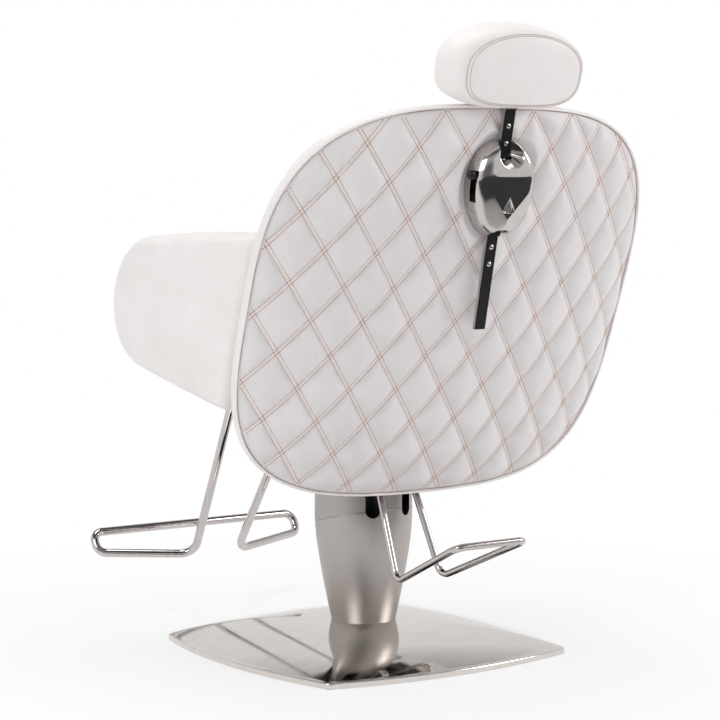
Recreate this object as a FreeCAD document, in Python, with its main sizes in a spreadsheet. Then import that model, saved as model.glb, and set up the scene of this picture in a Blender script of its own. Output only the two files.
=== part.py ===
"""Hydraulic reclining threading chair with a quilted barrel back, a sliding headrest and a footrest.

Frame: millimetres, +Z up, origin on the floor under the column's axis. The chair faces -Y and
+X is the sitter's left. Three tilted frames are used: the back, the head bar and the headrest.
In each of them x runs to the right and y up as seen from behind, and z points out of the back.
"""
import FreeCAD, Part
import math
import os
import re
import Sketcher

Vector = FreeCAD.Vector

SIZES = {
    # Clearances and one overrun for every cut
    "running_gap": 0.05, "fit_gap": 0.3, "overrun": 5,
    # Square base: a plate under a domed cover with bulged sides
    "base_half_width": 251, "base_half_depth": 256, "base_side_rise": 36, "base_end_rise": 36,
    "rim_height": 11, "rim_lift": 0.8, "cover_wall": 2,
    "shoulder_share": 0.72, "shoulder_height": 36, "saddle_share": 0.42, "saddle_height": 46,
    "neck_radius": 62, "neck_height": 50, "neck_hole_radius": 50,
    # Pump: flanged body, bolted to the plate, with a head that guides the piston
    "flange_radius": 75, "flange_thickness": 12, "pump_radius": 38, "pump_top": 362,
    "pump_bore_radius": 26, "pump_floor": 14, "pump_head_radius": 44, "pump_head_thickness": 12,
    "pump_bolt_circle_radius": 57, "pump_bolt_radius": 6, "pump_bolt_across_corners": 19,
    "pump_bolt_head": 7.5, "pump_bolt_length": 26,
    "piston_radius": 18, "piston_foot_level": 150, "piston_foot_height": 15, "piston_top": 442.5,
    # Column cover below a slanted seam, and the collar above it
    "column_wall": 2, "column_foot_radius": 56.3, "vase_low_radius": 68.8, "vase_low_level": 109,
    "vase_high_radius": 81.8, "vase_high_level": 185, "vase_shoulder_radius": 84.9,
    "vase_shoulder_level": 215, "collar_radius": 86, "collar_level": 250, "collar_top": 375,
    "seam_level": 234.5, "seam_lean": 13.9, "slot_spread": 35, "slot_width": 24, "slot_foot": 240,
    "slot_top": 368, "cap_thickness": 4,
    # Pump pedal: one bent bar on a cross shaft
    "pedal_pivot_y": 70, "pedal_pivot_z": 355, "shaft_radius": 5.5, "shaft_half_length": 40,
    "lug_half_width": 24, "lug_radius": 8.5, "pedal_bar_radius": 6, "hub_radius": 10,
    "hub_inner_x": 27, "hub_outer_x": 39, "pedal_bend_x": 47, "pedal_bend_y": 165,
    "pedal_bend_z": 143, "pad_x": 73, "pad_y": 365, "pad_z": 230, "pedal_bend_radius": 20,
    "pad_bend_radius": 17,
    # Seat hub and the welded frame under the seat
    "boss_radius": 32, "boss_level": 420, "seat_plate_level": 435, "seat_plate_thickness": 8,
    "seat_plate_half_width": 90, "seat_plate_front": -140, "seat_plate_rear": 80,
    "rail_width": 25, "frame_half_width": 235, "frame_front": -175, "frame_rear": 110,
    "front_rail_y": -310, "front_rail_half_length": 100, "foot_rail_x": 75,
    "front_cross_y": -120, "rear_cross_y": 60, "seat_bolt_x": 70, "seat_bolt_radius": 5,
    "seat_bolt_across_corners": 16, "seat_bolt_head": 6.4, "seat_bolt_length": 22,
    "tab_front_y": -90, "tab_rear_y": 40,
    # Seat board and cushion
    "board_thickness": 12, "board_half_width": 247, "board_front": -306, "board_rear": 150,
    "board_corner_radius": 45, "cushion_half_width": 248.5, "cushion_front": -309,
    "cushion_rear": 152, "cushion_crown": 72, "cushion_power": 6,
    # Armrests, each on a steel plate beside the seat
    "arm_plate_gap": 18, "arm_plate_thickness": 5, "arm_plate_front": -110, "arm_plate_rear": 60,
    "arm_plate_top": 620, "arm_plate_corner": 30, "arm_width": 114,
    "arm_top": 737, "arm_rear_y": 219.5, "arm_nose_y": -247, "arm_nose_z": 607,
    "arm_nose_radius": 130, "arm_chin_y": -221, "arm_chin_z": 547, "arm_chin_bulge": 8,
    "arm_belly_y": -130, "arm_belly_z": 497, "arm_heel_y": 121.5, "arm_heel_z": 456.5,
    "arm_rounding": 25, "arm_bolt_radius": 4, "arm_bolt_head": 5, "arm_bolt_across_corners": 13,
    "arm_bolt_length": 18,
    # Footrest: one bent tube held in two sockets under the front rail
    "foot_tube_radius": 7.95, "foot_top_x": 77, "foot_top_y": -298.2, "foot_top_z": 440,
    "foot_low_x": 49, "foot_low_y": -495, "foot_low_z": 103, "foot_side_x": 226,
    "foot_side_y": -553, "foot_side_z": 114, "foot_front_x": 229, "foot_front_y": -574,
    "foot_front_z": 150, "foot_low_bend": 30, "foot_end_bend": 19.5, "socket_radius": 11,
    "socket_length": 52, "set_screw_radius": 3, "set_screw_head_radius": 6, "set_screw_head": 5,
    # Recline hinge under the rear rail
    "hinge_y": 140, "hinge_z": 362, "hinge_plate_x": 147, "hinge_plate_thickness": 6,
    "hinge_plate_front": 62, "hinge_plate_shoulder": 120, "hinge_plate_foot": 418,
    "hinge_eye_radius": 18, "hinge_pin_radius": 7, "hinge_pin_head_radius": 11,
    "hinge_pin_head": 4, "bracket_gap": 0.4, "bracket_thickness": 6, "bracket_eye_radius": 16,
    "bracket_flange_width": 44, "bracket_flange_depth": 8, "bracket_flange_inset": 24,
    "bracket_flange_length": 113, "bracket_screw_radius": 3, "bracket_screw_head_radius": 6,
    "bracket_screw_head": 3, "bracket_screw_length": 16, "bracket_screw_pitch": 26,
    "crank_y": 130, "crank_z": 312, "crank_eye_radius": 9.5, "crank_pin_radius": 4,
    # Gas spring beside the column
    "gas_x": 140, "gas_anchor_y": -120, "gas_anchor_z": 385, "gas_eye_radius": 10,
    "gas_eye_half_width": 5, "gas_radius": 11, "gas_start": 14, "gas_length": 130, "gas_wall": 2,
    "gas_rod_radius": 5, "gas_rod_depth": 46, "gas_open_bore_radius": 6.4, "anchor_gap": 1,
    "anchor_ear_thickness": 4, "anchor_ear_half_width": 9, "anchor_top_thickness": 5,
    # Release lever on the sitter's right
    "lever_y": -145, "lever_z": 455.5, "lever_pin_radius": 4, "lever_hub_radius": 10,
    "lever_hub_width": 10, "lever_bar_radius": 4.5, "lever_reach_x": 300, "lever_bend_y": -170,
    "lever_end_y": -290, "lever_bend_radius": 14, "grip_radius": 9, "grip_length": 80,
    "grip_rounding": 5,
    # Back: bowed board, side band, crowned rear panel and front cushion
    "back_foot_y": 169.1, "back_foot_z": 292.8, "back_lean": 19.1, "back_half_width": 391.5,
    "back_half_height": 342, "back_upper_power": 2.92, "back_lower_power": 3.68,
    "back_taper_share": 0.011, "bow_radius": 1667, "panel_crown": 25, "panel_crown_power": 5,
    "panel_edge": 2, "back_board_inset": 17, "back_board_thickness": 18,
    "front_half_width": 384, "front_foot_inset": 155, "front_top_inset": 5, "front_crown": 62,
    "front_power": 3.2,
    # Lock: base plate, cast housing, clamp block and lever, on the head bar's line
    "lock_drop": 129.5, "lock_out": 26.85, "bar_lean": 12.4, "lock_half_width": 61.5,
    "lock_half_height": 80.4, "lock_upper_power": 2.15, "lock_lower_power": 2.0,
    "lock_taper_share": 0.1, "lock_floor": 12.5, "lock_base_thickness": 3, "lock_crown": 36,
    "lock_wall": 4, "lock_base_inset": 1.5, "channel_half_width": 13, "channel_front": 8,
    "channel_back": 4.2, "scoop_radius": 25, "scoop_centre": 31, "scoop_start": 29,
    "scoop_rise_share": 0.42, "scoop_low_radius": 17, "scoop_low_start": 58,
    "scoop_low_rise_share": 0.3, "hollow_low": -53, "hollow_high": 41,
    "shield_half_width": 31, "shield_top": 27, "shield_side": -6,
    "shield_tip": -43, "shield_depth": 4.5, "facet_half_width": 12, "facet_top": -8,
    "facet_foot": -31, "facet_depth": 3, "flank_slot_x": 40, "flank_slot_low": -19,
    "flank_slot_high": 33, "flank_slot_floor": 2, "flank_slot_depth": 13,
    "lock_lever_x": -24, "lock_lever_y": 2, "lock_lever_level": 8.5, "lock_lever_pin_radius": 4,
    "lock_lever_boss_radius": 8, "lock_lever_boss_height": 9, "lock_lever_bar_radius": 3.6,
    "lock_lever_end_x": -66, "lock_lever_end_y": 25, "knob_radius": 7.5, "knob_length": 17,
    "clamp_half_length": 18, "clamp_width": 7, "clamp_gap": 0.6, "lock_screw_x": 36,
    "lock_screw_y": 42, "lock_screw_radius": 3, "lock_screw_head_radius": 5.5,
    "lock_screw_head": 3, "lock_screw_length": 30,
    # Head bar with its studs, and the headrest on a tilt pin
    "bar_half_width": 11, "bar_thickness": 5.4, "strip_thickness": 1, "strip_half_width": 10,
    "bar_high": 131, "bar_low": -233.4, "stud_first": 103.4, "stud_pitch": 28.4,
    "stud_radius": 4.5, "stud_height": 2.2, "tilt_level": 155.6, "tongue_half_width": 11,
    "tongue_half_depth": 6, "tilt_eye_radius": 9, "tilt_pin_radius": 4,
    "head_rise": 198.65, "head_back": 13.88, "head_lean": 15, "head_half_width": 127.5,
    "head_half_height": 62, "head_half_depth": 45, "head_upper_power": 2.9,
    "head_lower_power": 3.6, "pocket_half_width": 17, "pocket_half_depth": 16,
    "pocket_height": 38, "ear_gap": 0.6, "ear_thickness": 4, "ear_half_depth": 9,
}

# Counts, and the shares that shape the stuffed forms: (share of the outline, share of the depth)
PUMP_BOLTS = 4
STUDS = 9
BRACKET_SCREWS = 4
OUTLINE_ARCS = 16
PANEL_SHARES = (1, 0.985, 0.955, 0.91, 0.84, 0.73, 0.55, 0.3, 0.06)
FRONT_SHARES = ((0.97, 0), (1, 0.12), (0.985, 0.24), (0.94, 0.38), (0.86, 0.53), (0.74, 0.69),
                (0.58, 0.84), (0.36, 0.95), (0.08, 1))
SEAT_SHARES = ((0.975, 0), (1, 0.16), (1, 0.55), (0.985, 0.72), (0.95, 0.84), (0.86, 0.925),
               (0.62, 0.98), (0.12, 1))
HEAD_SHARES = ((0.5, -0.97), (0.84, -0.93), (0.955, -0.8), (1, -0.45), (1, 0.3), (0.965, 0.6),
               (0.88, 0.82), (0.7, 0.95), (0.35, 1))
LOCK_SHARES = ((1, 0), (0.99, 0.25), (0.955, 0.48), (0.88, 0.68), (0.76, 0.83), (0.6, 0.93),
               (0.4, 0.98), (0.15, 1))

doc = FreeCAD.newDocument("ThreadingChair")
sheet = doc.addObject("Spreadsheet::Sheet", "Sizes")
for row, (alias, number) in enumerate(SIZES.items(), 1):
    sheet.set("A%d" % row, alias)
    sheet.set("B%d" % row, str(number))
    sheet.setAlias("B%d" % row, alias)
doc.recompute()

nodes = {}


def linked(expression):
    """Point each size name in an expression at its cell."""
    return re.sub(r"[a-z_]+", lambda word: ("Sizes." if word.group() in SIZES else "") + word.group(),
                  expression)


def size(expression):
    """Work out an expression of size names as a plain number."""
    return float(sheet.evalExpression(linked(expression)))


def spot(x, y, z):
    return Vector(size(x), size(y), size(z))


def keep(label, thing):
    """Register a finished sub-part under the name of its file."""
    thing.Label = label
    nodes[label] = thing
    return thing


def beyond(frame, rise, out, lean):
    """A tilted frame that lies a rise up another's slope and out of its back, leaning by its own."""
    slope = frame[3] + " * 1deg"
    return (frame[0],
            "%s + (%s) * sin(%s) + (%s) * cos(%s)" % (frame[1], rise, slope, out, slope),
            "%s + (%s) * cos(%s) - (%s) * sin(%s)" % (frame[2], rise, slope, out, slope), lean)


BACK = beyond(("0", "back_foot_y", "back_foot_z", "back_lean"), "back_half_height", "0", "back_lean")
BAR = beyond(BACK, "back_half_height - lock_drop", "lock_out", "bar_lean")
HEAD = beyond(BAR, "head_rise", "-head_back", "head_lean")


def frame_of(frame):
    """Placement of a tilted frame, seen from behind: x right, y up, z out of the back."""
    return FreeCAD.Placement(spot(*frame[:3]), FreeCAD.Rotation(180, 0, 90 + size(frame[3])))


def seated(shape, frame, into=None):
    """Carry a shape from one tilted frame into another, or into the chair's own frame."""
    moved = shape.copy()
    place = frame_of(frame)
    moved.Placement = (frame_of(into).inverse().multiply(place) if into else place).multiply(
        shape.Placement)
    return moved


def modelled(label, shape, frame=None):
    """A piece whose form comes from a formula: its shape is set here, then its placement."""
    feature = doc.addObject("Part::Feature", label)
    feature.Shape = shape
    if frame:
        feature.Placement = frame_of(frame)
    return keep(label, feature)


def new_body(label):
    return keep(label, doc.addObject("PartDesign::Body", label))


def sketch(body, plane, level=None):
    """An empty sketch on one of the body's own planes, at an offset along its normal."""
    made = body.newObject("Sketcher::SketchObject", "Sketch")
    support = [part for part in body.Origin.OriginFeatures if part.Role == plane][0]
    made.AttachmentSupport = [(support, "")]
    made.MapMode = "FlatFace"
    if level:
        made.AttachmentOffset = FreeCAD.Placement(Vector(0, 0, size(level)), FreeCAD.Rotation())
        made.setExpression("AttachmentOffset.Base.z", linked(level))
    return made


def hold(made, item, end, x, y):
    """Tie a sketch point to two expressions."""
    for kind, expression, axis in (("DistanceX", x, -2), ("DistanceY", y, -1)):
        if expression == "0":
            made.addConstraint(Sketcher.Constraint("PointOnObject", item, end, axis))
            continue
        row = made.addConstraint(Sketcher.Constraint(kind, -1, 1, item, end, size(expression)))
        made.setExpression("Constraints[%d]" % row, linked(expression))


def outline(made, corners):
    """Close a loop. A corner is (x, y), or (x, y, x2, y2) where an arc through x2, y2 follows it."""
    points = [Vector(size(corner[0]), size(corner[1]), 0) for corner in corners]
    ends = []
    for index, corner in enumerate(corners):
        here = points[index]
        there = points[(index + 1) % len(points)]
        if len(corner) == 2:
            ends.append((made.addGeometry(Part.LineSegment(here, there), False), 1, 2))
            continue
        top = Vector(size(corner[2]), size(corner[3]), 0)
        if (top - here).cross(there - top).z > 0:
            edge = (made.addGeometry(Part.Arc(here, top, there), False), 1, 2)
        else:
            edge = (made.addGeometry(Part.Arc(there, top, here), False), 2, 1)
        mark = made.addGeometry(Part.Point(top), True)
        hold(made, mark, 1, corner[2], corner[3])
        made.addConstraint(Sketcher.Constraint("PointOnObject", mark, 1, edge[0]))
        ends.append(edge)
    for index, corner in enumerate(corners):
        edge, start, end = ends[index]
        after, after_start, after_end = ends[(index + 1) % len(ends)]
        made.addConstraint(Sketcher.Constraint("Coincident", edge, end, after, after_start))
        hold(made, edge, start, corner[0], corner[1])


def disc(made, x, y, radius):
    """A circle tied to a centre and a radius."""
    ring = made.addGeometry(Part.Circle(Vector(size(x), size(y), 0), Vector(0, 0, 1), size(radius)),
                            False)
    if x == "0" and y == "0":
        made.addConstraint(Sketcher.Constraint("Coincident", ring, 3, -1, 1))
    else:
        hold(made, ring, 3, x, y)
    row = made.addConstraint(Sketcher.Constraint("Radius", ring, size(radius)))
    made.setExpression("Constraints[%d]" % row, linked(radius))


def pad(body, made, length, both=False, back=False):
    feature = body.newObject("PartDesign::Pad", "Pad")
    feature.Profile = made
    feature.setExpression("Length", linked(length))
    feature.SideType = "Symmetric" if both else "One side"
    feature.Reversed = back
    return feature


def pocket(body, made, length=None, both=False, back=False):
    """A cut of a stated depth, or right through where no depth is given."""
    doc.recompute()
    before = body.Shape.Volume
    feature = body.newObject("PartDesign::Pocket", "Pocket")
    feature.Profile = made
    feature.SideType = "Symmetric" if both else "One side"
    feature.Reversed = back
    if length:
        feature.setExpression("Length", linked(length))
    else:
        feature.Type = "ThroughAll"
    doc.recompute()
    if not body.Shape.Volume < before:
        raise RuntimeError("%s: a pocket cuts nothing" % body.Label)
    return feature


def spin(body, made):
    """Revolve a sketch of the XZ plane about the column's axis."""
    feature = body.newObject("PartDesign::Revolution", "Revolution")
    feature.Profile = made
    feature.ReferenceAxis = (made, ["V_Axis"])
    feature.Angle = 360
    return feature


def soften(body, feature, radius, chosen):
    """Round the edges of a feature that a test picks."""
    doc.recompute()
    names = ["Edge%d" % number for number, edge in enumerate(feature.Shape.Edges, 1) if chosen(edge)]
    rounded = body.newObject("PartDesign::Fillet", "Fillet")
    rounded.Base = (feature, names)
    rounded.setExpression("Radius", linked(radius))
    return rounded


def along_z(edge):
    return abs(edge.BoundBox.ZLength - edge.Length) < 1e-6


def in_plane_x(edge):
    return edge.BoundBox.XLength < 1e-6


def block(label, low, high):
    """A box between two corners."""
    made = doc.addObject("Part::Box", label)
    for name, near, far in zip(("Length", "Width", "Height"), low, high):
        made.setExpression(name, linked("(%s) - (%s)" % (far, near)))
    for name, near in zip("xyz", low):
        made.setExpression("Placement.Base." + name, linked(near))
    return made


def bolt(axis, head_radius, head, shank, length, hexagon=True):
    """A bolt at the origin: its head stands along the axis and its shank runs back from there."""
    direction = Vector(*axis)
    rod = Part.makeCylinder(size(shank), size(length), Vector(0, 0, 0), -direction)
    if not hexagon:
        return rod.fuse(Part.makeCylinder(size(head_radius), size(head), Vector(0, 0, 0),
                                          direction)).removeSplitter()
    side = Vector(1, 0, 0) if abs(direction.x) < 0.5 else Vector(0, 1, 0)
    corners = [FreeCAD.Rotation(direction, 60 * turn).multVec(side * size(head_radius))
               for turn in range(6)]
    hexed = Part.Face(Part.makePolygon(corners + corners[:1])).extrude(direction * size(head))
    return rod.fuse(hexed).removeSplitter()


def bent_bar(points, bends, radius):
    """A round bar along straight runs that tangent arcs join, one bend radius for each corner."""
    edges = []
    start = points[0]
    for before, corner, after, bend in zip(points, points[1:], points[2:], bends):
        back = (before - corner).normalize()
        onward = (after - corner).normalize()
        half_angle = back.getAngle(onward) / 2
        reach = bend / math.tan(half_angle)
        entry = corner + back * reach
        leave = corner + onward * reach
        middle = corner + (back + onward).normalize() * (bend / math.sin(half_angle) - bend)
        edges.append(Part.LineSegment(start, entry).toShape())
        edges.append(Part.Arc(entry, middle, leave).toShape())
        start = leave
    edges.append(Part.LineSegment(start, points[-1]).toShape())
    circle = Part.makeCircle(radius, points[0], points[1] - points[0])
    return Part.Wire(edges).makePipeShell([Part.Wire(circle)], True, False)


def tube_between(low, high, radius):
    return Part.makeCylinder(radius, (high - low).Length, low, high - low)


def oval(half_width, half_height, upper, lower, taper=0):
    """Points of a superellipse whose upper and lower halves have powers of their own."""
    points = []
    for step in range(2 * OUTLINE_ARCS):
        turn = math.pi * step / OUTLINE_ARCS
        power = 2 / (upper if math.sin(turn) > 0 else lower)
        x = half_width * math.copysign(abs(math.cos(turn)) ** power, math.cos(turn))
        y = half_height * math.copysign(abs(math.sin(turn)) ** power, math.sin(turn))
        points.append(Vector(x * (1 + taper * y / half_height), y, 0))
    return points


def sag(x, radius):
    """How far a bowed sheet of this radius falls away at x."""
    return radius - math.sqrt(radius * radius - x * x)


def ring(points, share, level, bow=None):
    """One section of a stuffed form: the outline scaled and joined by arcs, flat or bowed."""
    placed = [Vector(point.x * share, point.y * share,
                     level - (sag(point.x * share, bow) if bow else 0)) for point in points]
    placed.append(placed[0])
    return Part.Wire([Part.Arc(placed[step], placed[step + 1], placed[step + 2]).toShape()
                      for step in range(0, len(points), 2)])


def bow_solid(depth, half_height):
    """Everything in front of a bowed sheet that lies this depth behind the back's rear plane."""
    reach = 1.5 * size("back_half_width")
    drop = -depth - sag(reach, size("bow_radius"))
    start = -2 * half_height
    arc = Part.Arc(Vector(-reach, start, drop), Vector(0, start, -depth),
                   Vector(reach, start, drop)).toShape()
    sides = Part.makePolygon([Vector(reach, start, drop), Vector(reach, start, 3 * drop),
                              Vector(-reach, start, 3 * drop), Vector(-reach, start, drop)])
    return Part.Face(Part.Wire([arc] + sides.Edges)).extrude(Vector(0, 4 * half_height, 0))


def turned(shape, angle):
    """A copy turned about the column's axis."""
    copy = shape.copy()
    copy.rotate(Vector(0, 0, 0), Vector(0, 0, 1), angle)
    return copy


def moved(shape, *offset):
    copy = shape.copy()
    copy.translate(Vector(*offset))
    return copy


def bulged_square(body, level, share, trim="0"):
    """A sketch of the base's outline: four corners joined by arcs, scaled by a share."""
    wide = "(base_half_width * %s - %s)" % (share, trim)
    deep = "(base_half_depth * %s - %s)" % (share, trim)
    side = "((base_half_width + base_side_rise) * %s - %s)" % (share, trim)
    end = "((base_half_depth + base_end_rise) * %s - %s)" % (share, trim)
    made = sketch(body, "XY_Plane", level)
    outline(made, [(wide, "-" + deep, side, "0"), (wide, deep, "0", end),
                   ("-" + wide, deep, "-" + side, "0"), ("-" + wide, "-" + deep, "0", "-" + end)])
    return made


def quarter_circle_ring(body, level, radius):
    """A circle drawn as four arcs, to match the base's outline."""
    made = sketch(body, "XY_Plane", level)
    slant = "(%s) * sqrt(2) / 2" % radius
    outline(made, [(slant, "-" + slant, radius, "0"), (slant, slant, "0", radius),
                   ("-" + slant, slant, "-(%s)" % radius, "0"),
                   ("-" + slant, "-" + slant, "0", "-(%s)" % radius)])
    return made


def dome(body, kind, trim, lower):
    """Loft the base's domed form, outside or inside, from its rim to the neck."""
    loft = body.newObject("PartDesign::" + kind, kind)
    loft.Profile = bulged_square(body, "rim_height - (%s)" % lower, "1", trim)
    loft.Sections = [
        (bulged_square(body, "shoulder_height - (%s)" % lower, "shoulder_share", trim), [""]),
        (bulged_square(body, "saddle_height - (%s)" % lower, "saddle_share", trim), [""]),
        (quarter_circle_ring(body, "neck_height - (%s)" % lower, "neck_radius - (%s)" % trim), [""]),
    ]
    loft.Ruled = False
    return loft


def base_cover():
    """Pressed cover of the base: a thin rim, a low dome and a neck under the column."""
    body = new_body("base_cover")
    pad(body, bulged_square(body, "rim_lift", "1"), "rim_height - rim_lift")
    dome(body, "AdditiveLoft", "0", "0")
    pocket(body, bulged_square(body, "rim_lift", "1", "cover_wall"),
           "rim_height - cover_wall - rim_lift", back=True)
    dome(body, "SubtractiveLoft", "cover_wall", "cover_wall")
    hole = sketch(body, "XY_Plane")
    disc(hole, "0", "0", "neck_hole_radius")
    pocket(body, hole, back=True)


def bolt_ring(shape):
    """Copies of a shape round the pump's bolt circle, at forty-five degrees to the sides."""
    out = moved(shape, size("pump_bolt_circle_radius"), 0, 0)
    return [turned(out, 360 * (turn + 0.5) / PUMP_BOLTS) for turn in range(PUMP_BOLTS)]


def base_plate():
    """Heavy plate that the pump is bolted to; its underside is the floor face."""
    body = new_body("base_plate")
    pad(body, bulged_square(body, "0", "1", "(cover_wall + fit_gap)"), "rim_height - cover_wall")
    holes = sketch(body, "XY_Plane", "rim_height - cover_wall")
    for x in ("", "-"):
        for y in ("", "-"):
            disc(holes, x + "pump_bolt_circle_radius * sqrt(2) / 2",
                 y + "pump_bolt_circle_radius * sqrt(2) / 2", "pump_bolt_radius + fit_gap")
    pocket(body, holes, "pump_bolt_length - pump_bolt_head - flange_thickness + fit_gap")


def pump_body():
    """Cylinder welded to its foot flange, bored from the top for the piston's foot."""
    body = new_body("pump_body")
    made = sketch(body, "XZ_Plane")
    foot = "(rim_height - cover_wall)"
    outline(made, [("0", foot), ("flange_radius", foot),
                   ("flange_radius", foot + " + flange_thickness"),
                   ("pump_radius", foot + " + flange_thickness"), ("pump_radius", "pump_top"),
                   ("pump_bore_radius", "pump_top"),
                   ("pump_bore_radius", foot + " + flange_thickness + pump_floor"),
                   ("0", foot + " + flange_thickness + pump_floor")])
    spin(body, made)
    holes = sketch(body, "XY_Plane", foot + " + flange_thickness")
    for x in ("", "-"):
        for y in ("", "-"):
            disc(holes, x + "pump_bolt_circle_radius * sqrt(2) / 2",
                 y + "pump_bolt_circle_radius * sqrt(2) / 2", "pump_bolt_radius + fit_gap")
    pocket(body, holes, "flange_thickness")


def pump_bolts():
    """Hexagon bolts that hold the flange down."""
    one = bolt((0, 0, 1), "pump_bolt_across_corners / 2", "pump_bolt_head", "pump_bolt_radius",
               "pump_bolt_length - pump_bolt_head")
    level = size("rim_height - cover_wall + flange_thickness")
    modelled("pump_bolts", Part.makeCompound(bolt_ring(moved(one, 0, 0, level))))


def pump_head():
    """Guide of the piston on top of the cylinder, with the lug that carries the pedal's shaft."""
    body = new_body("pump_head")
    made = sketch(body, "XY_Plane", "pump_top")
    disc(made, "0", "0", "pump_head_radius")
    pad(body, made, "pump_head_thickness")
    lug = sketch(body, "YZ_Plane")
    top = "pump_top + pump_head_thickness"
    start = "pump_radius + fit_gap"
    outline(lug, [(start, "pump_top"), (start, "pedal_pivot_z - lug_radius"),
                  ("pedal_pivot_y", "pedal_pivot_z - lug_radius",
                   "pedal_pivot_y + lug_radius * sqrt(2) / 2",
                   "pedal_pivot_z - lug_radius * sqrt(2) / 2"),
                  ("pedal_pivot_y + lug_radius", "pedal_pivot_z"),
                  ("pedal_pivot_y + lug_radius", top), ("0", top), ("0", "pump_top")])
    pad(body, lug, "2 * lug_half_width", both=True)
    bore = sketch(body, "XY_Plane", top)
    disc(bore, "0", "0", "piston_radius + running_gap")
    pocket(body, bore)
    cross = sketch(body, "YZ_Plane")
    disc(cross, "pedal_pivot_y", "pedal_pivot_z", "shaft_radius + running_gap")
    pocket(body, cross, both=True)


def piston_rod():
    """Chromed lift rod with its piston foot."""
    body = new_body("piston_rod")
    made = sketch(body, "XZ_Plane")
    outline(made, [("0", "piston_foot_level"),
                   ("pump_bore_radius - fit_gap", "piston_foot_level"),
                   ("pump_bore_radius - fit_gap", "piston_foot_level + piston_foot_height"),
                   ("piston_radius", "piston_foot_level + piston_foot_height"),
                   ("piston_radius", "piston_top"), ("0", "piston_top")])
    spin(body, made)


def column_profile(made):
    """Half section of the vase-shaped column from the base's neck to the collar's top."""
    wall = " - column_wall"
    low = "neck_height"
    outline(made, [
        ("column_foot_radius", low, "vase_low_radius", "vase_low_level"),
        ("vase_high_radius", "vase_high_level", "vase_shoulder_radius", "vase_shoulder_level"),
        ("collar_radius", "collar_level"), ("collar_radius", "collar_top"),
        ("collar_radius" + wall, "collar_top"),
        ("collar_radius" + wall, "collar_level", "vase_shoulder_radius" + wall,
         "vase_shoulder_level"),
        ("vase_high_radius" + wall, "vase_high_level", "vase_low_radius" + wall, "vase_low_level"),
        ("column_foot_radius" + wall, low)])


def seam_cut(body, upper):
    """Cut the column at its slanted seam and keep the part above or below it."""
    made = sketch(body, "YZ_Plane")
    reach = "(collar_radius + overrun)"
    rise = "%s * tan(seam_lean * 1deg)" % reach
    far = "(neck_height - overrun)" if upper else "(collar_top + overrun)"
    outline(made, [("-" + reach, "seam_level - " + rise), (reach, "seam_level + " + rise),
                   (reach, far), ("-" + reach, far)])
    pocket(body, made, both=True)


def column_cover():
    """Brushed steel vase around the pump, below the seam."""
    body = new_body("column_cover")
    made = sketch(body, "XZ_Plane")
    column_profile(made)
    spin(body, made)
    seam_cut(body, False)


def column_collar():
    """Upper collar of the column, with a slot at the back for each arm of the pedal."""
    body = new_body("column_collar")
    made = sketch(body, "XZ_Plane")
    column_profile(made)
    spin(body, made)
    seam_cut(body, True)
    slots = sketch(body, "XZ_Plane")
    for side in ("", "-"):
        near = side + "(slot_spread - slot_width / 2)"
        far = side + "(slot_spread + slot_width / 2)"
        outline(slots, [(near, "slot_foot + slot_width / 2", side + "slot_spread", "slot_foot"),
                        (far, "slot_foot + slot_width / 2"), (far, "slot_top"), (near, "slot_top")])
    pocket(body, slots, "collar_radius + overrun")


def collar_cap():
    """Disc that closes the collar round the pump head."""
    body = new_body("collar_cap")
    made = sketch(body, "XY_Plane", "collar_top - cap_thickness")
    disc(made, "0", "0", "collar_radius - column_wall - fit_gap")
    disc(made, "0", "0", "pump_head_radius + fit_gap")
    pad(body, made, "cap_thickness")
    notch = sketch(body, "XY_Plane", "collar_top - cap_thickness")
    wide = "(lug_half_width + fit_gap)"
    deep = "(pedal_pivot_y + lug_radius + fit_gap)"
    outline(notch, [("-" + wide, "0"), (wide, "0"), (wide, deep), ("-" + wide, deep)])
    pocket(body, notch, back=True)


def pedal():
    """Bent steel bar with a hub on each end; the foot presses the bar's far end."""
    start = "(hub_inner_x + hub_outer_x) / 2"
    half = [spot(start, "pedal_pivot_y", "pedal_pivot_z"),
            spot("pedal_bend_x", "pedal_bend_y", "pedal_bend_z"), spot("pad_x", "pad_y", "pad_z")]
    points = half + [Vector(-point.x, point.y, point.z) for point in reversed(half)]
    bends = [size("pedal_bend_radius"), size("pad_bend_radius"), size("pad_bend_radius"),
             size("pedal_bend_radius")]
    shape = bent_bar(points, bends, size("pedal_bar_radius"))
    width = size("hub_outer_x - hub_inner_x")
    for x in (size("hub_inner_x"), -size("hub_outer_x")):
        centre = Vector(x, size("pedal_pivot_y"), size("pedal_pivot_z"))
        shape = shape.fuse(Part.makeCylinder(size("hub_radius"), width, centre, Vector(1, 0, 0)))
    for x in (size("hub_inner_x"), -size("hub_outer_x")):
        centre = Vector(x - width, size("pedal_pivot_y"), size("pedal_pivot_z"))
        shape = shape.cut(Part.makeCylinder(size("shaft_radius"), 3 * width, centre,
                                            Vector(1, 0, 0)))
    modelled("pedal", shape.removeSplitter())


def pedal_shaft():
    """Cross shaft that the pedal turns on."""
    made = doc.addObject("Part::Cylinder", "pedal_shaft")
    made.setExpression("Radius", linked("shaft_radius"))
    made.setExpression("Height", linked("2 * shaft_half_length"))
    made.Placement = FreeCAD.Placement(Vector(0, 0, 0), FreeCAD.Rotation(Vector(0, 1, 0), 90))
    made.setExpression("Placement.Base.x", linked("-shaft_half_length"))
    made.setExpression("Placement.Base.y", linked("pedal_pivot_y"))
    made.setExpression("Placement.Base.z", linked("pedal_pivot_z"))
    keep("pedal_shaft", made)


RAIL = "(seat_plate_level + seat_plate_thickness)"
ARM_PLATE = "(frame_half_width + arm_plate_gap)"


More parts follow.
